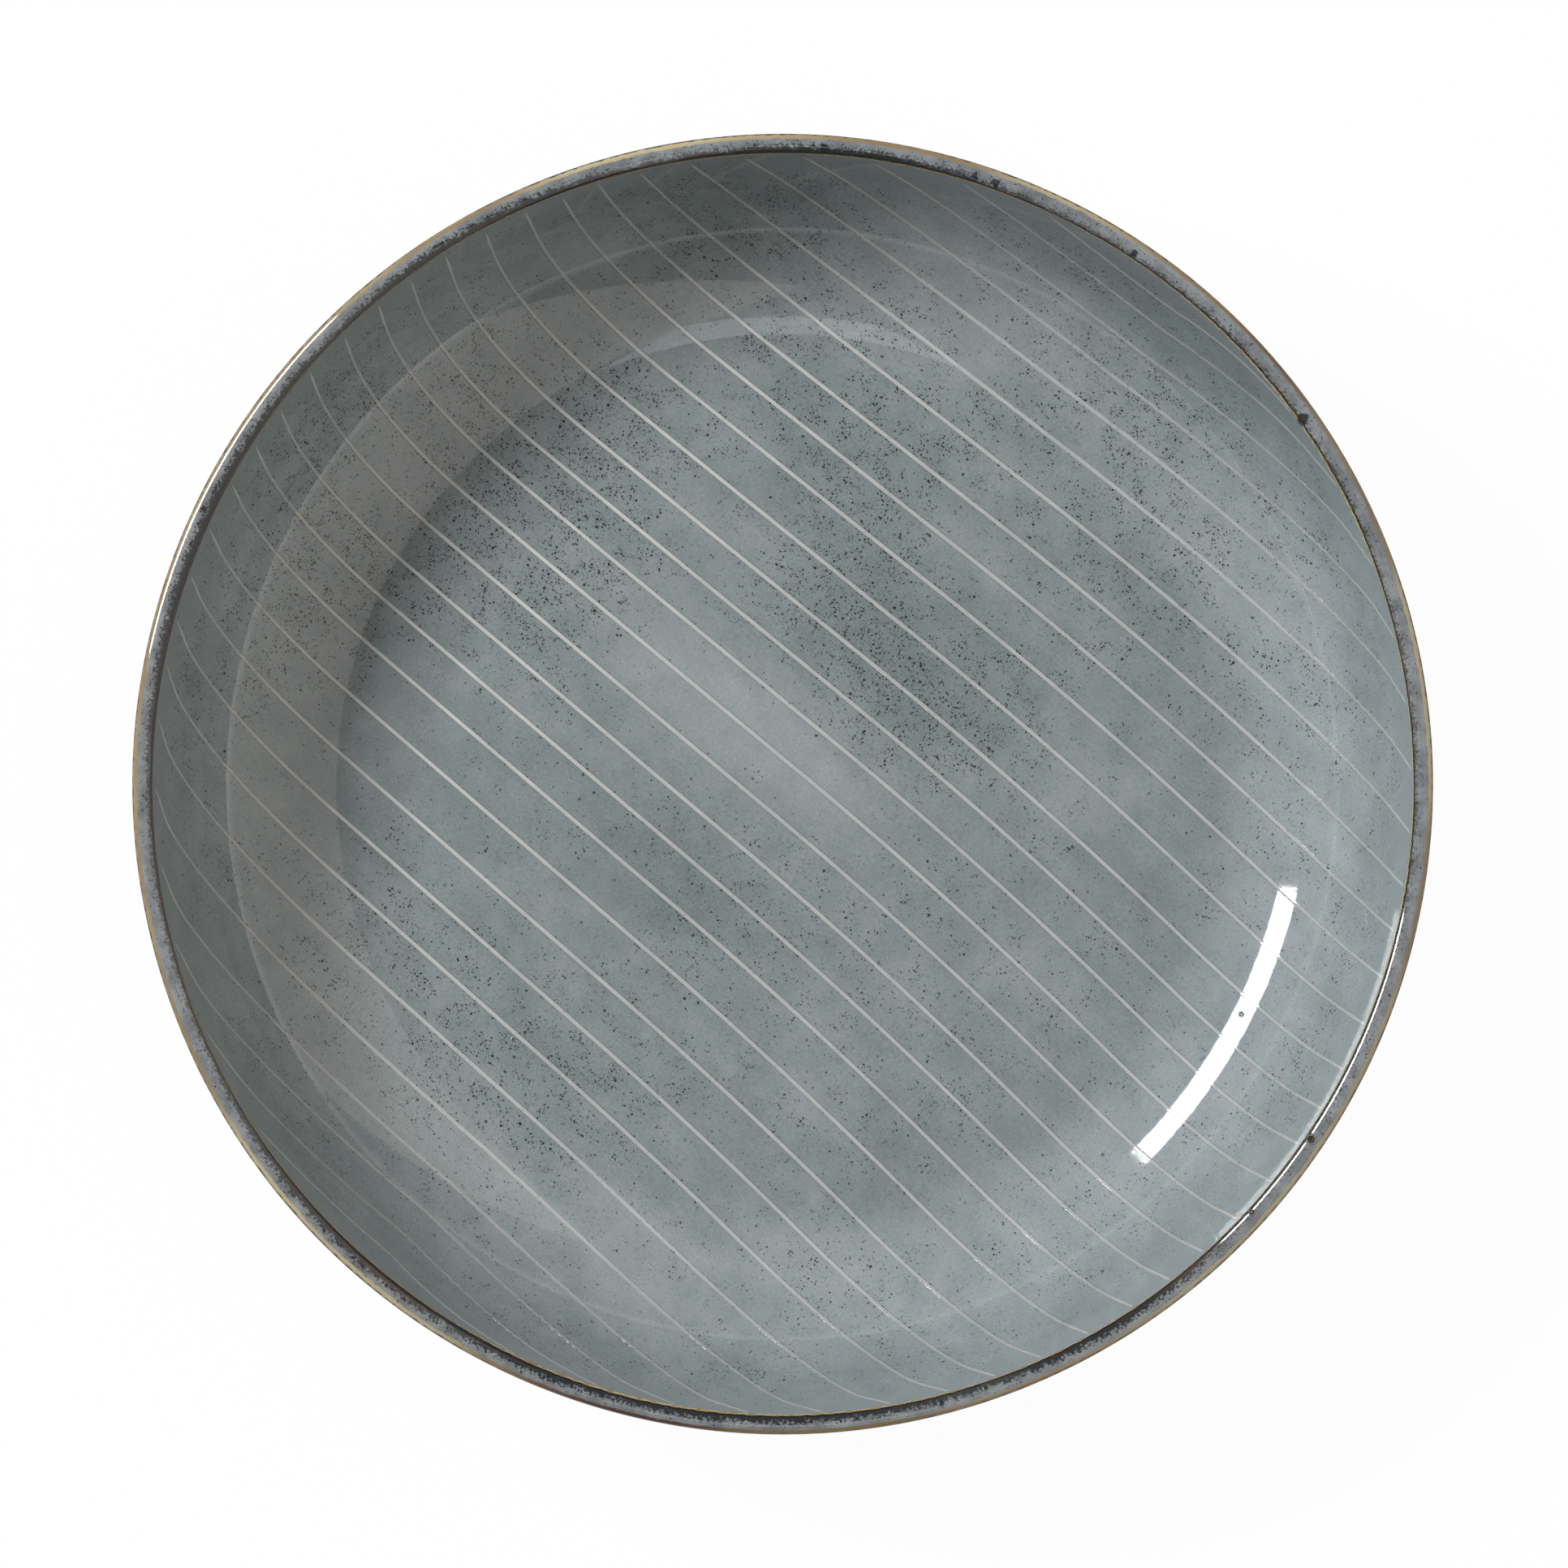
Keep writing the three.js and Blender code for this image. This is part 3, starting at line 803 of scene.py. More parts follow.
    def colour(self, bench: NodeBench, at: Socket) -> Socket:
        """Lays crown, pool, edges and marks over each other."""
        lip = bench.add("ShaderNodeAttribute", attribute_name=self.attribute).outputs["Fac"]
        slow = bench.noise(at, self.slow_scale, 2.0, 0.5)
        quick = bench.noise(at, self.quick_scale, 3.0, 0.65)
        scallop = bench.noise(at, self.scallop_scale, 2.0, 0.6)
        wander = bench.ease(slow, 0.3, 0.7, -0.03, 0.03)
        wander = bench.plus(wander, bench.ease(quick, 0.25, 0.75, -0.035, 0.035))
        ragged = bench.plus(lip, wander)
        cloud = bench.noise(at, self.cloud_scale, 4.0, 0.6)
        colour = bench.blend(bench.ease(cloud, 0.32, 0.68), self.crown_dark, self.crown)
        colour = bench.blend(self.specks(bench, at, lip), colour, self.pool)
        pooling = self.along_rim(bench, at, self.pools)
        shallow, deeper = self.pool_depth
        depth = bench.math("MULTIPLY_ADD", pooling, deeper, third=shallow)
        dust = bench.ease(bench.noise(at, self.dust_scale, 2.0, 0.65), 0.3, 0.7, -0.16, 0.16)
        scallop = bench.plus(bench.ease(scallop, 0.3, 0.7, -0.06, 0.06), dust)
        past = bench.minus(bench.plus(lip, scallop), depth)
        pooled = bench.times(bench.ease(past, 0.16, -0.1), bench.ease(pooling, 0.0, 1.0, 0.66, 0.95))
        warm = bench.blend(bench.ease(slow, 0.58, 0.72, 0.0, 0.8), self.pool, self.pool_brown)
        colour = bench.blend(pooled, colour, warm)
        line = bench.times(bench.ease(ragged, 0.13, 0.09), bench.ease(ragged, 0.01, 0.04))
        colour = bench.blend(bench.times(line, self.line_dark), colour, self.edge)
        band = bench.blend(bench.ease(slow, 0.34, 0.48), self.brown, self.tan)
        band = bench.blend(bench.ease(slow, 0.5, 0.66), band, self.cream)
        colour = bench.blend(bench.ease(ragged, 0.69, 0.79, 0.0, 0.92), colour, band)
        colour = bench.blend(bench.ease(ragged, 0.9, 0.965), colour, self.edge)
        inner = bench.blend(bench.ease(quick, 0.4, 0.6), self.tan, self.cream)
        dulled = bench.times(self.along_rim(bench, at, self.dull), self.dull_share)
        inner = bench.blend(dulled, inner, self.taupe)
        arris = bench.times(bench.ease(lip, -0.07, -0.04), bench.ease(ragged, 0.05, 0.02))
        colour = bench.blend(arris, colour, inner)
        calm = self.glaze.colour(bench, at, calm=CoatFinish.calm_share)
        return bench.blend(bench.ease(lip, -0.04, -0.07), colour, calm)

    def material(self) -> bpy.types.Material:
        """Builds the material."""
        material, bench = new_material(self.name)
        at = bench.add("ShaderNodeTexCoord").outputs["Object"]
        colour = self.colour(bench, at)
        height, dark = self.glaze.pits(bench, [self.spot(mark) for mark in self.pits])
        # Darkens each pit: partly darker glaze, partly painted shade in the hollow.
        colour = bench.blend(bench.times(dark, self.pit_dark), colour, self.edge)
        rough = bench.noise(at, self.tear_scale, 3.0, 0.7, output="Color")
        push = bench.vector("SUBTRACT", rough, (0.5, 0.5, 0.5))
        torn = bench.vector("ADD", at, bench.scaled(push, self.tear))
        for mark in self.blotches:
            spot = self.spot(mark)
            share = self.glaze.effects.place(bench, self.glaze.effects.pit, {
                "Place": bench.stretch(torn, (1.0, 1.0, 0.0)), "Centre": (spot.x, spot.y, 0.0),
                "Radius": spot.radius,
            }).outputs["Dark"]
            colour = bench.blend(bench.times(share, self.blotch_dark), colour, self.pool)
        relief = bench.times(height, self.pit_depth)
        self.glaze.finish(bench, colour, self.glaze.surface(bench, at, relief))
        return material


@dataclass(frozen=True)
class SlipFinish:
    """Pale slip under the gloss, fading into the glaze at its edges and ends, and thinner up the wall."""

    coat: CoatFinish
    name: str = "pale_trailed_slip"
    pale: Colour = shade(188, 189, 186)
    warm: Colour = shade(179, 176, 171)
    strength: float = 0.66
    wall_strength: float = 0.42
    rim_gain: float = 0.25
    rim_span: Point2 = (42 * MM, 58 * MM)
    heavy_start: float = 1.5
    heavy_span: Point2 = (-95 * MM, 5 * MM)
    wall_from: float = 15 * MM
    wall_to: float = 32 * MM
    thin_scale: float = 90.0

    def material(self) -> bpy.types.Material:
        """Builds the material."""
        material, bench = new_material(self.name)
        place, colour = self.coat.base(bench)
        parts = bench.add("ShaderNodeSeparateXYZ", {"Vector": place}).outputs
        along, level = parts["X"], parts["Z"]
        across = bench.add("ShaderNodeAttribute", attribute_name="across").outputs["Fac"]
        fade = bench.add("ShaderNodeAttribute", attribute_name="fade").outputs["Fac"]
        middle = bench.ease(bench.math("ABSOLUTE", across), 0.95, 0.5)
        strength = bench.ease(level, self.wall_from, self.wall_to, self.strength, self.wall_strength)
        thin = bench.ease(bench.noise(place, self.thin_scale, 3.0, 0.6), 0.3, 0.7, 0.8, 1.05)
        strength = bench.plus(strength, bench.ease(level, *self.rim_span, 0.0, self.rim_gain))
        strength = bench.times(strength, bench.ease(along, *self.heavy_span, self.heavy_start, 1.0))
        share = bench.times(bench.times(middle, fade), bench.times(strength, thin))
        slip = bench.blend(bench.ease(level, self.wall_from, self.wall_to), self.pale, self.warm)
        colour = bench.blend(share, colour, slip)
        self.coat.glaze.finish(bench, colour, self.coat.glaze.surface(bench, place))
        return material


@dataclass(frozen=True)
class ClayFinish:
    """Bare fired stoneware with fine grog."""

    effects: SharedEffects
    name: str
    pale: Colour = shade(176, 150, 118)
    dark: Colour = shade(132, 104, 76)
    grog: Colour = shade(70, 54, 42)
    grog_share: float = 0.7
    cloud_scale: float = 60.0
    grog_cell: float = 2 * MM
    grog_size: float = 0.3
    grog_density: float = 0.35
    grain_scale: float = 1800.0
    grain_depth: float = 0.03 * MM
    grain_strength: float = 0.6
    roughness: float = 0.86

    def material(self) -> bpy.types.Material:
        """Builds the material."""
        material, bench = new_material(self.name)
        at = bench.add("ShaderNodeTexCoord").outputs["Object"]
        cloud = bench.noise(at, self.cloud_scale, 4.0, 0.6)
        colour = bench.blend(bench.ease(cloud, 0.3, 0.7), self.dark, self.pale)
        grog = self.effects.place(bench, self.effects.specks, {
            "Place": at, "Cell Scale": 1 / self.grog_cell, "Size": self.grog_size,
            "Density": self.grog_density,
        }).outputs["Specks"]
        colour = bench.blend(bench.times(grog, self.grog_share), colour, self.grog)
        grain = bench.noise(at, self.grain_scale, 3.0, 0.6)
        normal = bench.add("ShaderNodeBump", {
            "Height": grain, "Distance": self.grain_depth, "Strength": self.grain_strength,
        })
        shader = bench.add("ShaderNodeBsdfPrincipled", {
            "Base Color": colour, "Normal": normal.outputs["Normal"], "Roughness": self.roughness,
        })
        bench.add("ShaderNodeOutputMaterial", {"Surface": shader.outputs[0]})
        return material


def turned_mesh(name: str, section: Sequence[Vector], facets: int, sharp: float) -> bpy.types.Mesh:
    """Turns a closed section about the bowl's axis.

    Args:
        name: the mesh's name.
        section: points that run anticlockwise, with the axis on the left; end points on the axis stay single.
        facets: facets round the axis.
        sharp: angle past which an edge is shaded sharp.

    Returns:
        The closed mesh.
    """
    verts: list[Vector] = []
    rings: list[list[int]] = []
    for point in section:
        if point.x < ON_AXIS:
            rings.append([len(verts)] * facets)
            verts.append(Vector((0.0, 0.0, point.y)))
            continue
        rings.append(list(range(len(verts), len(verts) + facets)))
        for i in range(facets):
            angle = 2 * math.pi * i / facets
            verts.append(Vector((point.x * math.cos(angle), point.x * math.sin(angle), point.y)))
    on_axis = section[0].x < ON_AXIS
    pairs = list(zip(rings, rings[1:])) + ([] if on_axis else [(rings[-1], rings[0])])
    faces = []
    for low, high in pairs:
        for i in range(facets):
            j = (i + 1) % facets
            corners = (low[i], low[j], high[j], high[i])
            faces.append(tuple(dict.fromkeys(corners)))
    mesh = bpy.data.meshes.new(name)
    mesh.from_pydata(verts, [], faces)
    mesh.shade_smooth()
    mesh.set_sharp_from_angle(angle=sharp)
    return mesh


@dataclass
class Piece:
    """A finished piece of the bowl, with the solids that it stands for."""

    name: str
    mesh: bpy.types.Mesh
    material: bpy.types.Material
    slot: str
    nodes: tuple[str, ...]

    def put(self) -> bpy.types.Object:
        """Places the piece in the scene and ties it to the frame."""
        made = bpy.data.objects.new(self.name, self.mesh)
        bpy.context.scene.collection.objects.link(made)
        self.mesh.materials.clear()
        self.mesh.materials.append(self.material)
        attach(made, BODY)
        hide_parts(*self.nodes)
        LOG.info("%s: %d faces, stands for %s", self.name, len(self.mesh.polygons), ", ".join(self.nodes))
        return made


@dataclass
class GlazeCoats:
    """The coats of glaze inside, over the lip, outside and under the floor."""

    sizes: BowlSizes
    facets: int = 360
    bonded_steps: tuple[int, int, int] = (6, 14, 3)
    inner_steps: tuple[int, int, int] = (48, 44, 16)
    outer_steps: tuple[int, int, int] = (40, 44, 20)
    outer_bonded_steps: tuple[int, int, int] = (12, 14, 3)
    edge_steps: int = 8
    crown_steps: int = 18
    under_span: float = 0.45
    under_steps: int = 6
    roll_steps: int = 6
    seam_drop: float = 0.6 * MM
    inner_round: float = 0.4 * MM
    outer_round: float = 0.5 * MM
    sharp: float = math.radians(50)
    foot_gap: float = 0.15 * MM
    ring_depth: float = 0.05 * MM
    ring_pitch: float = 7.5 * MM
    inside: Face = field(init=False)
    outside: Face = field(init=False)

    def __post_init__(self) -> None:
        """Works out the two faces of the bowl."""
        sizes = self.sizes
        self.inside = Face(sizes, sizes.rim_radius - sizes.lip_width, sizes.floor_level, sizes.inside_corner)
        corner = sizes.inside_corner + sizes.corner_thickening
        self.outside = Face(sizes, sizes.rim_radius, sizes.foot_height, corner)

    def build_inside(self, finish: CoatFinish) -> bpy.types.Object:
        """Makes the coat over the floor and the inner wall."""
        coat = self.sizes.coat
        bonded = self.inside.points(coat, self.seam_drop, self.bonded_steps)
        finished = self.inside.points(0.0, self.seam_drop, self.inner_steps)
        mesh = turned_mesh("inside_coat", bonded + finished[::-1], self.facets, self.sharp)
        return Piece("inside_coat", mesh, finish.material(), "blue_grey_glaze", ("inside_glaze",)).put()

    def lip_point(self, angle: float, sink: float) -> Vector:
        """Gives a point of the lip at an angle from straight up, outwards."""
        reach = self.sizes.lip_radius - sink
        return self.sizes.lip_centre + Vector((math.sin(angle), math.cos(angle))) * reach

    def lip_angle(self, point: Vector) -> float:
        """Gives the angle of a point of the lip from straight up."""
        aside = point - self.sizes.lip_centre
        return math.atan2(aside.x, aside.y)

    def rounded(self, start: Vector, corner: Vector, end: Vector, steps: int) -> list[Vector]:
        """Gives points of a soft edge from start to end that just misses the corner."""
        return [start.lerp(corner, t).lerp(corner.lerp(end, t), t) for t in spread(0.0, 1.0, steps)]

    def rim_section(self) -> list[tuple[Vector, float]]:
        """Gives the finished surface over the lip, outer side first, each point with its place across it."""
        sizes, up = self.sizes, self.sizes.up_wall
        outer, inner = self.outside.top, self.inside.top
        outer_end = self.lip_angle(outer) - self.outer_round / sizes.lip_radius
        inner_end = self.lip_angle(inner) + self.inner_round / sizes.lip_radius
        points = [outer - up * self.seam_drop]
        crown = [self.lip_point(angle, 0.0) for angle in spread(outer_end, inner_end, self.crown_steps)]
        points += self.rounded(outer - up * self.outer_round, outer, crown[0], self.edge_steps)
        points += crown[1:-1]
        points += self.rounded(crown[-1], inner, inner - up * self.inner_round, self.edge_steps)
        points.append(inner - up * self.seam_drop)
        return [(point, self.across_lip(point)) for point in points]

    def across_lip(self, point: Vector) -> float:
        """Gives the place across the lip: 0 at the inner edge, 1 at the outer, past them on the walls."""
        below = (self.sizes.lip_level - point.y) / self.sizes.lip_width
        middle = self.sizes.lip_centre.x
        if below > 0:
            return 1 + below if point.x > middle else -below
        return (point.x - self.inside.top.x) / self.sizes.lip_width

    def build_rim(self, finish: RimFinish) -> bpy.types.Object:
        """Makes the coat over the lip."""
        top = self.rim_section()
        coat, off, up = self.sizes.coat, self.sizes.off_hollow, self.sizes.up_wall
        outer = self.outside.top - off * coat - up * self.seam_drop
        inner = self.inside.top + off * coat - up * self.seam_drop
        angles = spread(-self.under_span, self.under_span, self.under_steps)
        under = [inner] + [self.lip_point(angle, coat) for angle in angles] + [outer]
        section = [point for point, _ in top] + under
        mesh = turned_mesh("rim_coat", section, self.facets, self.sharp)
        across = [value for _, value in top] + [0.5] * len(under)
        lip = mesh.attributes.new(finish.attribute, "FLOAT", "POINT")
        lip.data.foreach_set("value", [value for value in across for _ in range(self.facets)])
        return Piece("rim_coat", mesh, finish.material(), "rim_glaze", ("rim_glaze",)).put()

    def build_outside(self, finish: OutsideFinish) -> bpy.types.Object:
        """Makes the coat over the outer wall, faintly ringed by the thrower's hand, down to the foot."""
        start = self.sizes.root_radius + self.foot_gap
        coat = self.sizes.coat
        face = self.outside.points(0.0, self.seam_drop, self.outer_steps)
        finished = [p for p in face if p.x > start + 2 * coat]
        ringed = [p - self.sizes.off_hollow * self.ring_at(p) for p in finished]
        back = self.outside.points(-coat, self.seam_drop, self.outer_bonded_steps)
        bonded = [p for p in back if p.x > start + coat]
        toe = Vector((start, self.outside.level(start, -coat)))
        heel = Vector((start, self.outside.level(start)))
        roll = self.rounded(toe, heel, finished[0], self.roll_steps)[:-1]
        mesh = turned_mesh("outside_coat", roll + ringed + bonded[::-1], self.facets, self.sharp)
        return Piece("outside_coat", mesh, finish.material(), "blue_grey_glaze", ("outside_glaze",)).put()

    def ring_at(self, point: Vector) -> float:
        """Gives the depth of the throwing rings, which die out below the lip and near the foot."""
        top = max(0.0, min(1.0, (self.sizes.lip_level - self.seam_drop - point.y) / self.ring_pitch))
        foot = max(0.0, min(1.0, (point.y - self.sizes.foot_height) / self.ring_pitch))
        wave = 0.5 - 0.5 * math.cos(2 * math.pi * point.y / self.ring_pitch)
        return self.ring_depth * top * foot * wave

    def build_underside(self, material: bpy.types.Material) -> bpy.types.Object:
        """Makes the disc of glaze inside the foot ring."""
        sizes = self.sizes
        end = sizes.root_radius - sizes.foot_width - 2 * sizes.foot_root - self.foot_gap
        radii = spread(0.0, end, 24)
        finished = [Vector((r, self.outside.level(r))) for r in radii]
        bonded = [Vector((r, self.outside.level(r, -sizes.coat))) for r in radii[::-6]]
        mesh = turned_mesh("underside_coat", finished + bonded, self.facets, self.sharp)
        return Piece("underside_coat", mesh, material, "blue_grey_glaze", ("underside_glaze",)).put()


@dataclass
class ClayBody:
    """The clay under the glaze, and the bare foot ring that the bowl stands on."""

    sizes: BowlSizes
    coats: GlazeCoats
    effects: SharedEffects
    facets: int = 240
    edge_steps: int = 6
    sharp: float = math.radians(40)
    foot_pale: Colour = shade(206, 180, 146)
    foot_dark: Colour = shade(170, 140, 106)

    def dress_body(self) -> None:
        """Gives the hidden clay body its finish."""
        body = frame["nodes"]["stoneware_body"]
        body.data.materials.clear()
        body.data.materials.append(ClayFinish(self.effects, "fired_stoneware").material())
        LOG.info("stoneware_body: kept as packed, under the glaze")

    def build_foot(self) -> bpy.types.Object:
        """Makes the turned foot with softly rubbed edges."""
        sizes, outside = self.sizes, self.coats.outside
        outer = sizes.root_radius - sizes.foot_root
        inner = outer - sizes.foot_width
        roots = spread(outer + sizes.foot_root, inner - sizes.foot_root, self.edge_steps)
        top = [Vector((r, outside.level(r, -sizes.coat))) for r in roots]
        base_in, base_out = Vector((inner, 0.0)), Vector((outer, 0.0))
        rubbed = 2 * sizes.foot_bevel
        up, out = Vector((0.0, rubbed)), Vector((rubbed, 0.0))
        section = self.coats.rounded(base_in + up, base_in, base_in + out, self.edge_steps)
        section += self.coats.rounded(base_out - out, base_out, base_out + up, self.edge_steps)
        mesh = turned_mesh("turned_foot", section + top, self.facets, self.sharp)
        finish = ClayFinish(self.effects, "bare_foot_clay", pale=self.foot_pale, dark=self.foot_dark)
        return Piece("turned_foot", mesh, finish.material(), "bare_clay", ("foot_ring",)).put()


@dataclass(frozen=True)
class Draw:
    """How the hand draws one half of a line: its dip on the floor, its turn aside on the wall and its end."""

    dip: float
    shift: float
    tuck: float
    end_drop: float
    point: float


@dataclass(frozen=True)
class Wave:
    """A wave in the spacing of the lines: its swing, its turn for each line and its start."""

    swing: float
    turn: float
    start: float


@dataclass
class SlipLines:
    """The pale lines trailed across the inside, each a low bead that follows the glaze."""

    sizes: BowlSizes
    face: Face
    count: int = 29
    edge_margin: float = 15.5 * MM
    offset: float = 2.7 * MM
    bearing: float = LINE_BEARING
    fan: float = 0.0525
    width: float = 1.45 * MM
    end_width: float = 1.0 * MM
    rise: float = 0.02 * MM
    sink: float = 0.12 * MM
    step: float = 2.0 * MM
    fade: float = 1.2 * MM
    section_points: int = 12
    weld: float = 0.002 * MM
    draws: dict[Side, Draw] = field(default_factory=lambda: {
        Side.LEFT: Draw(0.65 * MM, math.radians(4.1), math.radians(13.8), 1.5 * MM, 6 * MM),
        Side.RIGHT: Draw(11.4 * MM, math.radians(-1.3), math.radians(7.8), 0.65 * MM, 0.8 * MM),
    })
    waves: tuple[Wave, ...] = (
        Wave(5.1 * MM, math.radians(11.5), math.radians(30)),
        Wave(3.35 * MM, math.radians(20), math.radians(-173)),
        Wave(0.8 * MM, math.radians(80), math.radians(42)),
    )

    def drawn_offset(self, number: int) -> float:
        """Gives the distance along the face from the axis to a line; the middle line is 0."""
        pitch = 2 * (self.face.length() - self.edge_margin) / (self.count - 1)
        stray = sum(wave.swing * math.sin(wave.turn * number + wave.start) for wave in self.waves)
        return self.offset + pitch * number + stray

    def half_path(self, distance: float, side: Side) -> list[Vector]:
        """Gives half of a line in plan, from its middle to its end under the lip.

        Args:
            distance: distance along the face at which the line crosses the bowl's middle.
            side: which half.

        Returns:
            Places in plan.
        """
        draw = self.draws[side]
        end_radius = self.face.top.x - draw.end_drop * self.sizes.up_wall.x
        middle = math.copysign(self.face.radius_along(abs(distance)), distance)
        chord = math.asin(middle / end_radius)
        tuck = draw.tuck * math.sin(2 * chord) * math.sin(chord) ** 2
        end_angle = chord + draw.shift * math.cos(chord) - tuck
        end_along = side.value * end_radius * math.cos(end_angle)
        end_across = end_radius * math.sin(end_angle)
        low, high = self.face.level(abs(middle)), self.face.level(end_radius)

        def drift(reach: float) -> float:
            share = reach / self.face.top.x
            return self.fan * middle * share - draw.dip * share * share

        along = Vector((math.cos(self.bearing), math.sin(self.bearing)))
        across = Vector((-along.y, along.x))
        aside_at_end = end_across - middle - drift(end_along)
        places = []
        for phase in spread(0.0, math.pi / 2, math.ceil(abs(end_along) / self.step)):
            share = math.sin(phase)
            reach = end_along * share
            radius = math.hypot(reach, middle + (end_across - middle) * share)
            climb = (self.face.level(radius) - low) / (high - low)
            place = along * reach + across * (middle + drift(reach) + aside_at_end * climb)
            if place.length > end_radius:
                place = place.normalized() * end_radius
            places.append(place)
        return places

    def path_mesh(self, name: str, distance: float) -> bpy.types.Mesh:
        """Makes the line's path over the face, with the directions and widths that the bead needs."""
        left, right = self.half_path(distance, Side.LEFT), self.half_path(distance, Side.RIGHT)
        plan = left[::-1] + right[1:]
        seats = [Vector((p.x, p.y, self.face.level(p.length))) for p in plan]
        lifts = [self.face.normal(p) for p in plan]
        run = [0.0]
        for a, b in zip(seats, seats[1:]):
            run.append(run[-1] + (b - a).length)
        sides, spans, fades = [], [], []
        middle = run[len(left) - 1]
        for i, (seat, lift) in enumerate(zip(seats, lifts)):
            ahead = seats[min(i + 1, len(seats) - 1)] - seats[max(i - 1, 0)]
            sides.append(lift.cross(ahead).normalized())
            side = Side.LEFT if run[i] < middle else Side.RIGHT
            to_end = run[i] if side is Side.LEFT else run[-1] - run[i]
            half = middle if side is Side.LEFT else run[-1] - middle
            width = self.end_width + (self.width - self.end_width) * math.sqrt(min(1.0, to_end / half))
            spans.append(width * min(1.0, math.sqrt(to_end / self.draws[side].point)))
            fades.append(min(1.0, to_end / self.fade))
        mesh = bpy.data.meshes.new(name)
        mesh.from_pydata(seats, [(i, i + 1) for i in range(len(seats) - 1)], [])
        for label, kind, values in (("side", "FLOAT_VECTOR", sides), ("lift", "FLOAT_VECTOR", lifts),
                                    ("span", "FLOAT", spans), ("fade_in", "FLOAT", fades)):
            layer = mesh.attributes.new(label, kind, "POINT")
            if kind == "FLOAT":
                layer.data.foreach_set("value", values)
            else:
                layer.data.foreach_set("vector", [number for value in values for number in value])
        return mesh

    def bead_tree(self) -> bpy.types.NodeTree:
        """Builds the nodes that sweep a low closed bead along a path."""
        tree = bpy.data.node_groups.new("slip_bead", "GeometryNodeTree")
        sockets = tree.interface
        sockets.new_socket(name="Path", in_out="INPUT", socket_type="NodeSocketGeometry")
        for label in ("Bead Width", "Bead Rise", "Bead Sink"):
            sockets.new_socket(name=label, in_out="INPUT", socket_type="NodeSocketFloat")
        sockets.new_socket(name="Section Points", in_out="INPUT", socket_type="NodeSocketInt")
        sockets.new_socket(name="Slip", in_out="INPUT", socket_type="NodeSocketMaterial")
        sockets.new_socket(name="Bead", in_out="OUTPUT", socket_type="NodeSocketGeometry")
        bench = NodeBench(tree)
        given = bench.add("NodeGroupInput").outputs
        size = bench.add("GeometryNodeAttributeDomainSize", {"Geometry": given["Path"]})
        around = bench.plus(given["Section Points"], 1.0)
        grid = bench.add("GeometryNodeMeshGrid", {
            "Vertices X": size.outputs["Point Count"], "Vertices Y": around,
        })
        index = bench.add("GeometryNodeInputIndex").outputs[0]
        station = bench.math("FLOOR", bench.math("DIVIDE", bench.plus(index, 0.5), around))
        turn = bench.minus(index, bench.times(station, around))
        turn = bench.math("DIVIDE", turn, given["Section Points"])
        swing = bench.math("ABSOLUTE", bench.minus(bench.times(turn, 4.0), 2.0))
        across = bench.minus(swing, 1.0)
        bulge = bench.minus(1.0, bench.times(across, across))
        top = bench.times(bench.times(bulge, bulge), given["Bead Rise"])
        under = bench.times(bulge, bench.times(given["Bead Sink"], -1.0))
        is_top = bench.math("LESS_THAN", turn, 0.5)
        height = bench.add("GeometryNodeSwitch", {"Switch": is_top, "False": under, "True": top},
                           input_type="FLOAT").outputs[0]

        def sampled(kind: str, source: Socket) -> Socket:
            node = bench.add("GeometryNodeSampleIndex", data_type=kind, domain="POINT", clamp=True)
            bench.feed(node.inputs["Geometry"], given["Path"])
            bench.feed(node.inputs["Value"], source)
            bench.feed(node.inputs["Index"], station)
            return node.outputs["Value"]

        def named(kind: str, label: str) -> Socket:
            return bench.add("GeometryNodeInputNamedAttribute", {"Name": label}, data_type=kind).outputs[0]

        seat = sampled("FLOAT_VECTOR", bench.add("GeometryNodeInputPosition").outputs[0])
        side = sampled("FLOAT_VECTOR", named("FLOAT_VECTOR", "side"))
        lift = sampled("FLOAT_VECTOR", named("FLOAT_VECTOR", "lift"))
        span = sampled("FLOAT", named("FLOAT", "span"))
        fade = sampled("FLOAT", named("FLOAT", "fade_in"))
        reach = bench.times(bench.times(span, 0.5), across)
        scaled = bench.times(height, bench.math("DIVIDE", span, given["Bead Width"]))
        shift = bench.vector("ADD", bench.scaled(side, reach), bench.scaled(lift, scaled))
        spot = bench.vector("ADD", seat, shift)
        swept = bench.add("GeometryNodeSetPosition", {"Geometry": grid.outputs["Mesh"], "Position": spot})
        shape = swept.outputs[0]
        for label, value in (("across", across), ("fade", fade)):
            store = bench.add("GeometryNodeStoreNamedAttribute", {"Geometry": shape, "Name": label},
                              data_type="FLOAT", domain="POINT")
            bench.feed(store.inputs["Value"], value)
            shape = store.outputs[0]
        for kind, feeds in (
            ("MergeByDistance", {"Distance": self.weld}), ("SetShadeSmooth", {}),
            ("RealizeInstances", {}), ("SetMaterial", {"Material": given["Slip"]}),
        ):
            shape = bench.add("GeometryNode" + kind, {"Geometry": shape, **feeds}).outputs[0]
        bench.add("NodeGroupOutput", {"Bead": shape})
        return tree

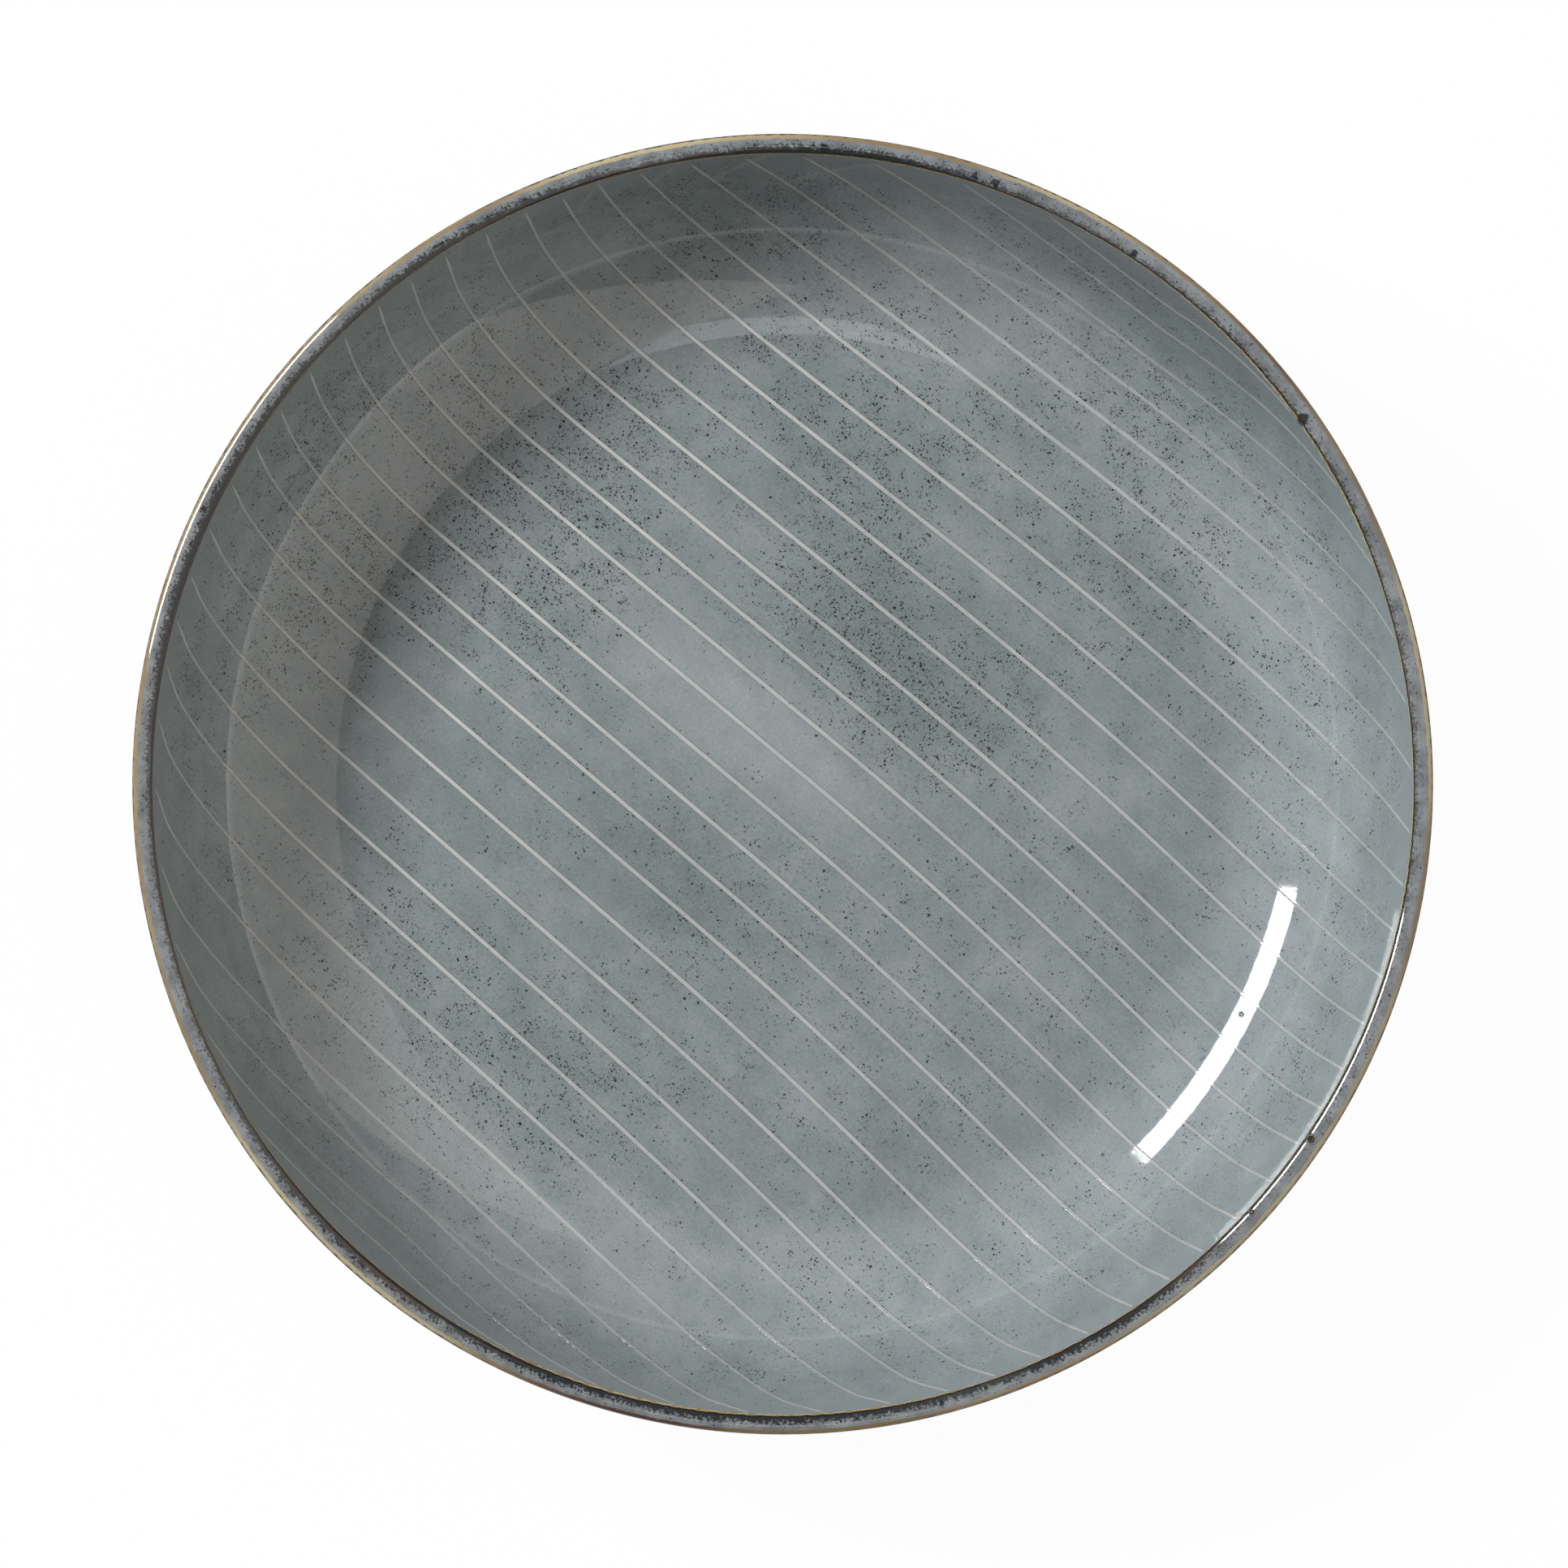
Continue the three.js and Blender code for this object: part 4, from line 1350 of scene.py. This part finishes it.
    def build(self, finish: SlipFinish) -> list[bpy.types.Object]:
        """Makes every line as a bead of its own."""
        material = finish.material()
        tree = self.bead_tree()
        inputs = {item.name: item.identifier for item in tree.interface.items_tree if item.in_out == "INPUT"}
        values = {"Bead Width": self.width, "Bead Rise": self.rise, "Bead Sink": self.sink,
                  "Section Points": self.section_points, "Slip": material}
        last = (self.count - 1) // 2
        made = []
        for order, number in enumerate(range(-last, last + 1), start=1):
            name = f"trailed_line_{order:02d}"
            line = self.path_mesh(name + "_path", self.drawn_offset(number))
            path = bpy.data.objects.new(line.name, line)
            bpy.context.scene.collection.objects.link(path)
            sweep = path.modifiers.new("slip_bead", "NODES")
            sweep.node_group = tree
            for label, value in values.items():
                sweep[inputs[label]] = value
            graph = bpy.context.evaluated_depsgraph_get()
            bead = bpy.data.meshes.new_from_object(path.evaluated_get(graph), depsgraph=graph)
            bead.name = name
            bpy.data.objects.remove(path)
            made.append(Piece(name, bead, material, "pale_slip", (f"slip_line_{order:02d}",)).put())
        return made


@dataclass(frozen=True)
class Lamp:
    """A rectangular lamp that faces the bowl, by where it stands, how far it faces down and how it shines."""

    name: str
    bearing: float
    reach: float
    level: float
    tilt: float
    size: Point2
    radiance: float
    tint: tuple[float, float, float] = (1.0, 1.0, 1.0)

    def hang(self) -> None:
        """Hangs the lamp; its power is four times its area for each unit of radiance."""
        data = bpy.data.lights.new(self.name, "AREA")
        data.shape = "RECTANGLE"
        data.size, data.size_y = self.size
        data.energy = 4 * self.size[0] * self.size[1] * self.radiance
        data.color = self.tint
        lamp = bpy.data.objects.new(self.name, data)
        out = Vector((math.cos(self.bearing), math.sin(self.bearing), 0.0))
        up = Vector((0.0, 0.0, 1.0))
        lamp.location = out * self.reach + up * self.level
        back = out * math.cos(self.tilt) + up * math.sin(self.tilt)
        lamp.rotation_euler = back.to_track_quat("Z", "Y").to_euler()
        lamp.visible_camera = False
        bpy.context.scene.collection.objects.link(lamp)


LAMPS: tuple[Lamp, ...] = (
    Lamp("strip_lamp", math.radians(151), 2.83, 2.2, 0.0, (1.75, 1.0), 30.0),
    Lamp("side_panel", math.radians(-12), 1.71, 1.54, math.radians(42), (5.2, 3.72), 0.68, (1.0, 0.93, 0.86)),
    Lamp("small_softbox", math.radians(-90), 0.75, 2.5, math.radians(90), (0.45, 0.52), 1.4,
         (0.9, 0.96, 1.0)),
)


@dataclass
class Studio:
    """Camera, lamps, floor and surroundings."""

    sizes: BowlSizes
    camera_rise: float = 1.5
    frame_width: float = 409.5 * MM
    sensor: float = 36.0
    camera_aside: Point2 = (0.34 * MM, 0.04 * MM)
    ambient: float = 0.05
    floor_radius: float = 4.0
    floor_sides: int = 64
    floor_white: float = 0.96
    floor_grey: Colour = (0.9, 0.9, 0.9, 1.0)
    white: Colour = (1.0, 1.0, 1.0, 1.0)
    horizon: Point2 = (0.2, 0.1)

    def build_camera(self) -> None:
        """Looks straight down on the rim."""
        data = bpy.data.cameras.new("overhead_camera")
        data.sensor_width = self.sensor
        data.lens = self.sensor * self.camera_rise / self.frame_width
        camera = bpy.data.objects.new("overhead_camera", data)
        camera.location = (*self.camera_aside, self.sizes.lip_level + self.camera_rise)
        bpy.context.scene.collection.objects.link(camera)
        bpy.context.scene.camera = camera

    def seen_share(self, bench: NodeBench) -> Socket:
        """Gives 1 where the camera, a gloss or a glass sees the surface, and 0 for soft light."""
        rays = bench.add("ShaderNodeLightPath").outputs
        mirrored = bench.math("MAXIMUM", rays["Is Glossy Ray"], rays["Is Transmission Ray"])
        return bench.math("MAXIMUM", rays["Is Camera Ray"], mirrored)

    def build_floor(self) -> None:
        """Lays a white floor that keeps a faint shadow of the bowl."""
        material, bench = new_material("white_floor")
        cloud = bench.add("ShaderNodeBsdfDiffuse", {"Color": self.floor_grey})
        glow = bench.add("ShaderNodeEmission", {"Color": self.white, "Strength": 1.0})
        share = bench.times(self.seen_share(bench), self.floor_white)
        mixed = bench.add("ShaderNodeMixShader", {0: share, 1: cloud.outputs[0], 2: glow.outputs[0]})
        bench.add("ShaderNodeOutputMaterial", {"Surface": mixed.outputs[0]})
        mesh = bpy.data.meshes.new("white_floor")
        turns = spread(0.0, 2 * math.pi, self.floor_sides)[:-1]
        corners = [Vector((math.cos(a), math.sin(a), 0.0)) * self.floor_radius for a in turns]
        mesh.from_pydata(corners, [], [tuple(range(len(corners)))])
        mesh.materials.append(material)
        floor = bpy.data.objects.new("white_floor", mesh)
        bpy.context.scene.collection.objects.link(floor)

    def build_world(self) -> None:
        """Gives a dim even surrounding that looks white near the horizon."""
        world = bpy.data.worlds.new("studio")
        world.use_nodes = True
        bpy.context.scene.world = world
        bench = NodeBench(world.node_tree)
        towards = bench.add("ShaderNodeTexCoord").outputs["Generated"]
        rise = bench.add("ShaderNodeSeparateXYZ", {"Vector": towards}).outputs["Z"]
        white = bench.ease(rise, *self.horizon, self.ambient, 1.0)
        dim = (self.ambient, self.ambient, self.ambient, 1.0)
        seen = bench.blend(self.seen_share(bench), dim, white)
        backdrop = bench.add("ShaderNodeBackground", {"Color": seen, "Strength": 1.0})
        bench.add("ShaderNodeOutputWorld", {"Surface": backdrop.outputs[0]})

    def build(self) -> None:
        """Sets up the whole studio."""
        bpy.context.scene.view_settings.view_transform = "Standard"
        self.build_camera()
        for lamp in LAMPS:
            lamp.hang()
        self.build_floor()
        self.build_world()


def main() -> None:
    """Builds the bowl and its studio in order."""
    logging.basicConfig(level=logging.INFO, format="%(name)s %(message)s")
    sizes = BowlSizes.from_frame()
    effects = SharedEffects()
    glaze = ReactiveGlaze(effects)
    studio = Studio(sizes)
    studio.build()
    coats = GlazeCoats(sizes)
    inside_finish = CoatFinish(glaze)
    outside_finish = OutsideFinish(glaze)
    coats.build_inside(inside_finish)
    coats.build_rim(RimFinish(replace(glaze, ripple=LIP_RIPPLE), sizes))
    outside = coats.build_outside(outside_finish)
    coats.build_underside(outside.data.materials[0])
    clay = ClayBody(sizes, coats, effects)
    clay.dress_body()
    clay.build_foot()
    SlipLines(sizes, coats.inside).build(SlipFinish(inside_finish))


if __name__ == "__main__":
    main()
